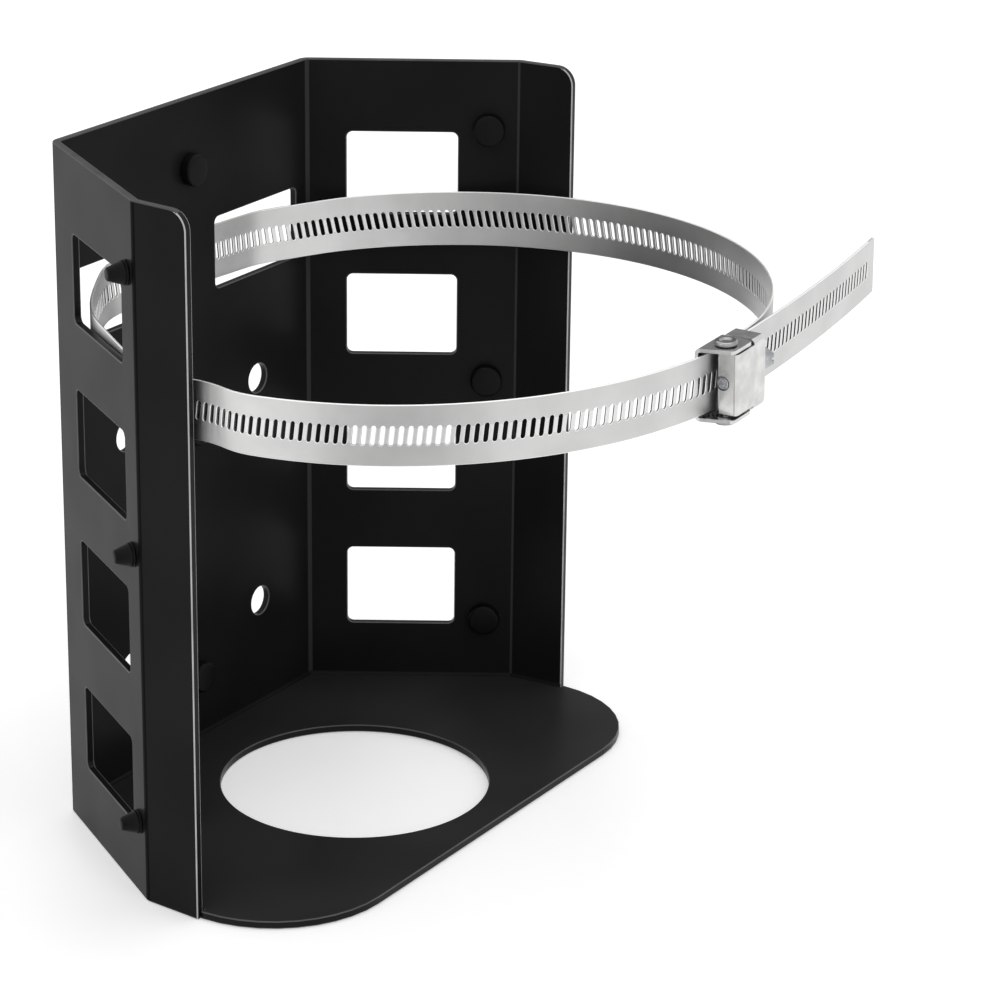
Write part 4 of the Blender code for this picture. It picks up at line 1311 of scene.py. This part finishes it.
# Studio: white floor and surround, soft lamps, and boards that only the metal and gloss show
studio = {
    "floorSize": 6.0,
    "floorDrop": 0.0002,  # below the base
    "floorColour": "#f4f4f4",
    "floorLook": {"Roughness": 0.9, "IOR": 1.2},
    "floorLift": 0.32,  # light of its own, where it is seen
    "cardRoughness": 0.8,
    "surround": 0.75,
    "white": "#ffffff",
    "aim": Vector((0, -0.08, 0.03)),
}
lamps = [  # name, place, size, watts
    ("overhead", (0.1, 0.0, 1.5), (1.2, 1.2), 3.0),
    ("leftSide", (-1.4, 0.6, 0.5), (0.5, 1.2), 1.5),
    ("rightRear", (1.1, 0.9, 0.9), (0.4, 1.2), 2.0),
]
cards = [  # name, colour, foot's two ends, low and high edge
    ("leftCard", "#f0f0f0", (-0.20, -0.26), (-0.20, -0.11), 0.0, 0.16),
    ("rearCard", "#8a8a8a", (0.35, 0.55), (0.75, 0.05), 0.12, 0.75),
]


def scaledShown(tree, low, high):  # low for the light itself, high for what the camera, metal and gloss show
    path = addNode(tree, "ShaderNodeLightPath").outputs
    shown = path["Is Camera Ray"]
    for ray in ("Is Glossy Ray", "Is Transmission Ray"):
        shown = addNode(tree, "ShaderNodeMath", {0: shown, 1: path[ray]}, operation="MAXIMUM")
    return addNode(tree, "ShaderNodeMapRange", {"Value": shown, "To Min": low, "To Max": high})


def makeFloor():
    bm = bmesh.new()
    bmesh.ops.create_grid(bm, x_segments=1, y_segments=1, size=studio["floorSize"])
    bmesh.ops.translate(bm, verts=bm.verts, vec=(0, 0, ground - studio["floorDrop"]))
    material, tree, shader = newMaterial("paleFloor")
    lift = scaledShown(tree, 0.0, studio["floorLift"])
    setInputs(shader, {"Base Color": colourOf(studio["floorColour"]), **studio["floorLook"]})
    setInputs(shader, {"Emission Color": colourOf(studio["white"]), "Emission Strength": lift})
    floor = newPiece("floor", meshFrom(bm, "floor", outward=False), material)


def makeCard(name, colour, start, stop, low, high):
    bm = bmesh.new()
    corners = [(*start, ground + low), (*stop, ground + low), (*stop, ground + high), (*start, ground + high)]
    bm.faces.new([bm.verts.new(corner) for corner in corners])
    material, _, shader = newMaterial(name)
    setInputs(shader, {"Base Color": colourOf(colour), "Roughness": studio["cardRoughness"]})
    card = newPiece(name, meshFrom(bm, name, outward=False), material)
    card.visible_camera = False
    card.visible_diffuse = False
    card.visible_shadow = False


def makeSurround():
    world = bpy.data.worlds.new("surround")
    world.use_nodes = True
    strength = scaledShown(world.node_tree, studio["surround"], 1.0)
    look = {"Color": colourOf(studio["white"]), "Strength": strength}
    setInputs(world.node_tree.nodes["Background"], look)
    scene.world = world


def addLamp(name, place, size, watts):
    light = bpy.data.lights.new(name, "AREA")
    light.shape = "RECTANGLE"
    light.size, light.size_y = size
    light.energy = watts
    lamp = newObject(name, light)
    lamp.location = place
    lamp.rotation_euler = (studio["aim"] - Vector(place)).to_track_quat("-Z", "Y").to_euler()


makeFloor()
makeSurround()
for card in cards:
    makeCard(*card)
for lamp in lamps:
    addLamp(*lamp)
scene.view_settings.view_transform = "Standard"
print("studio set")
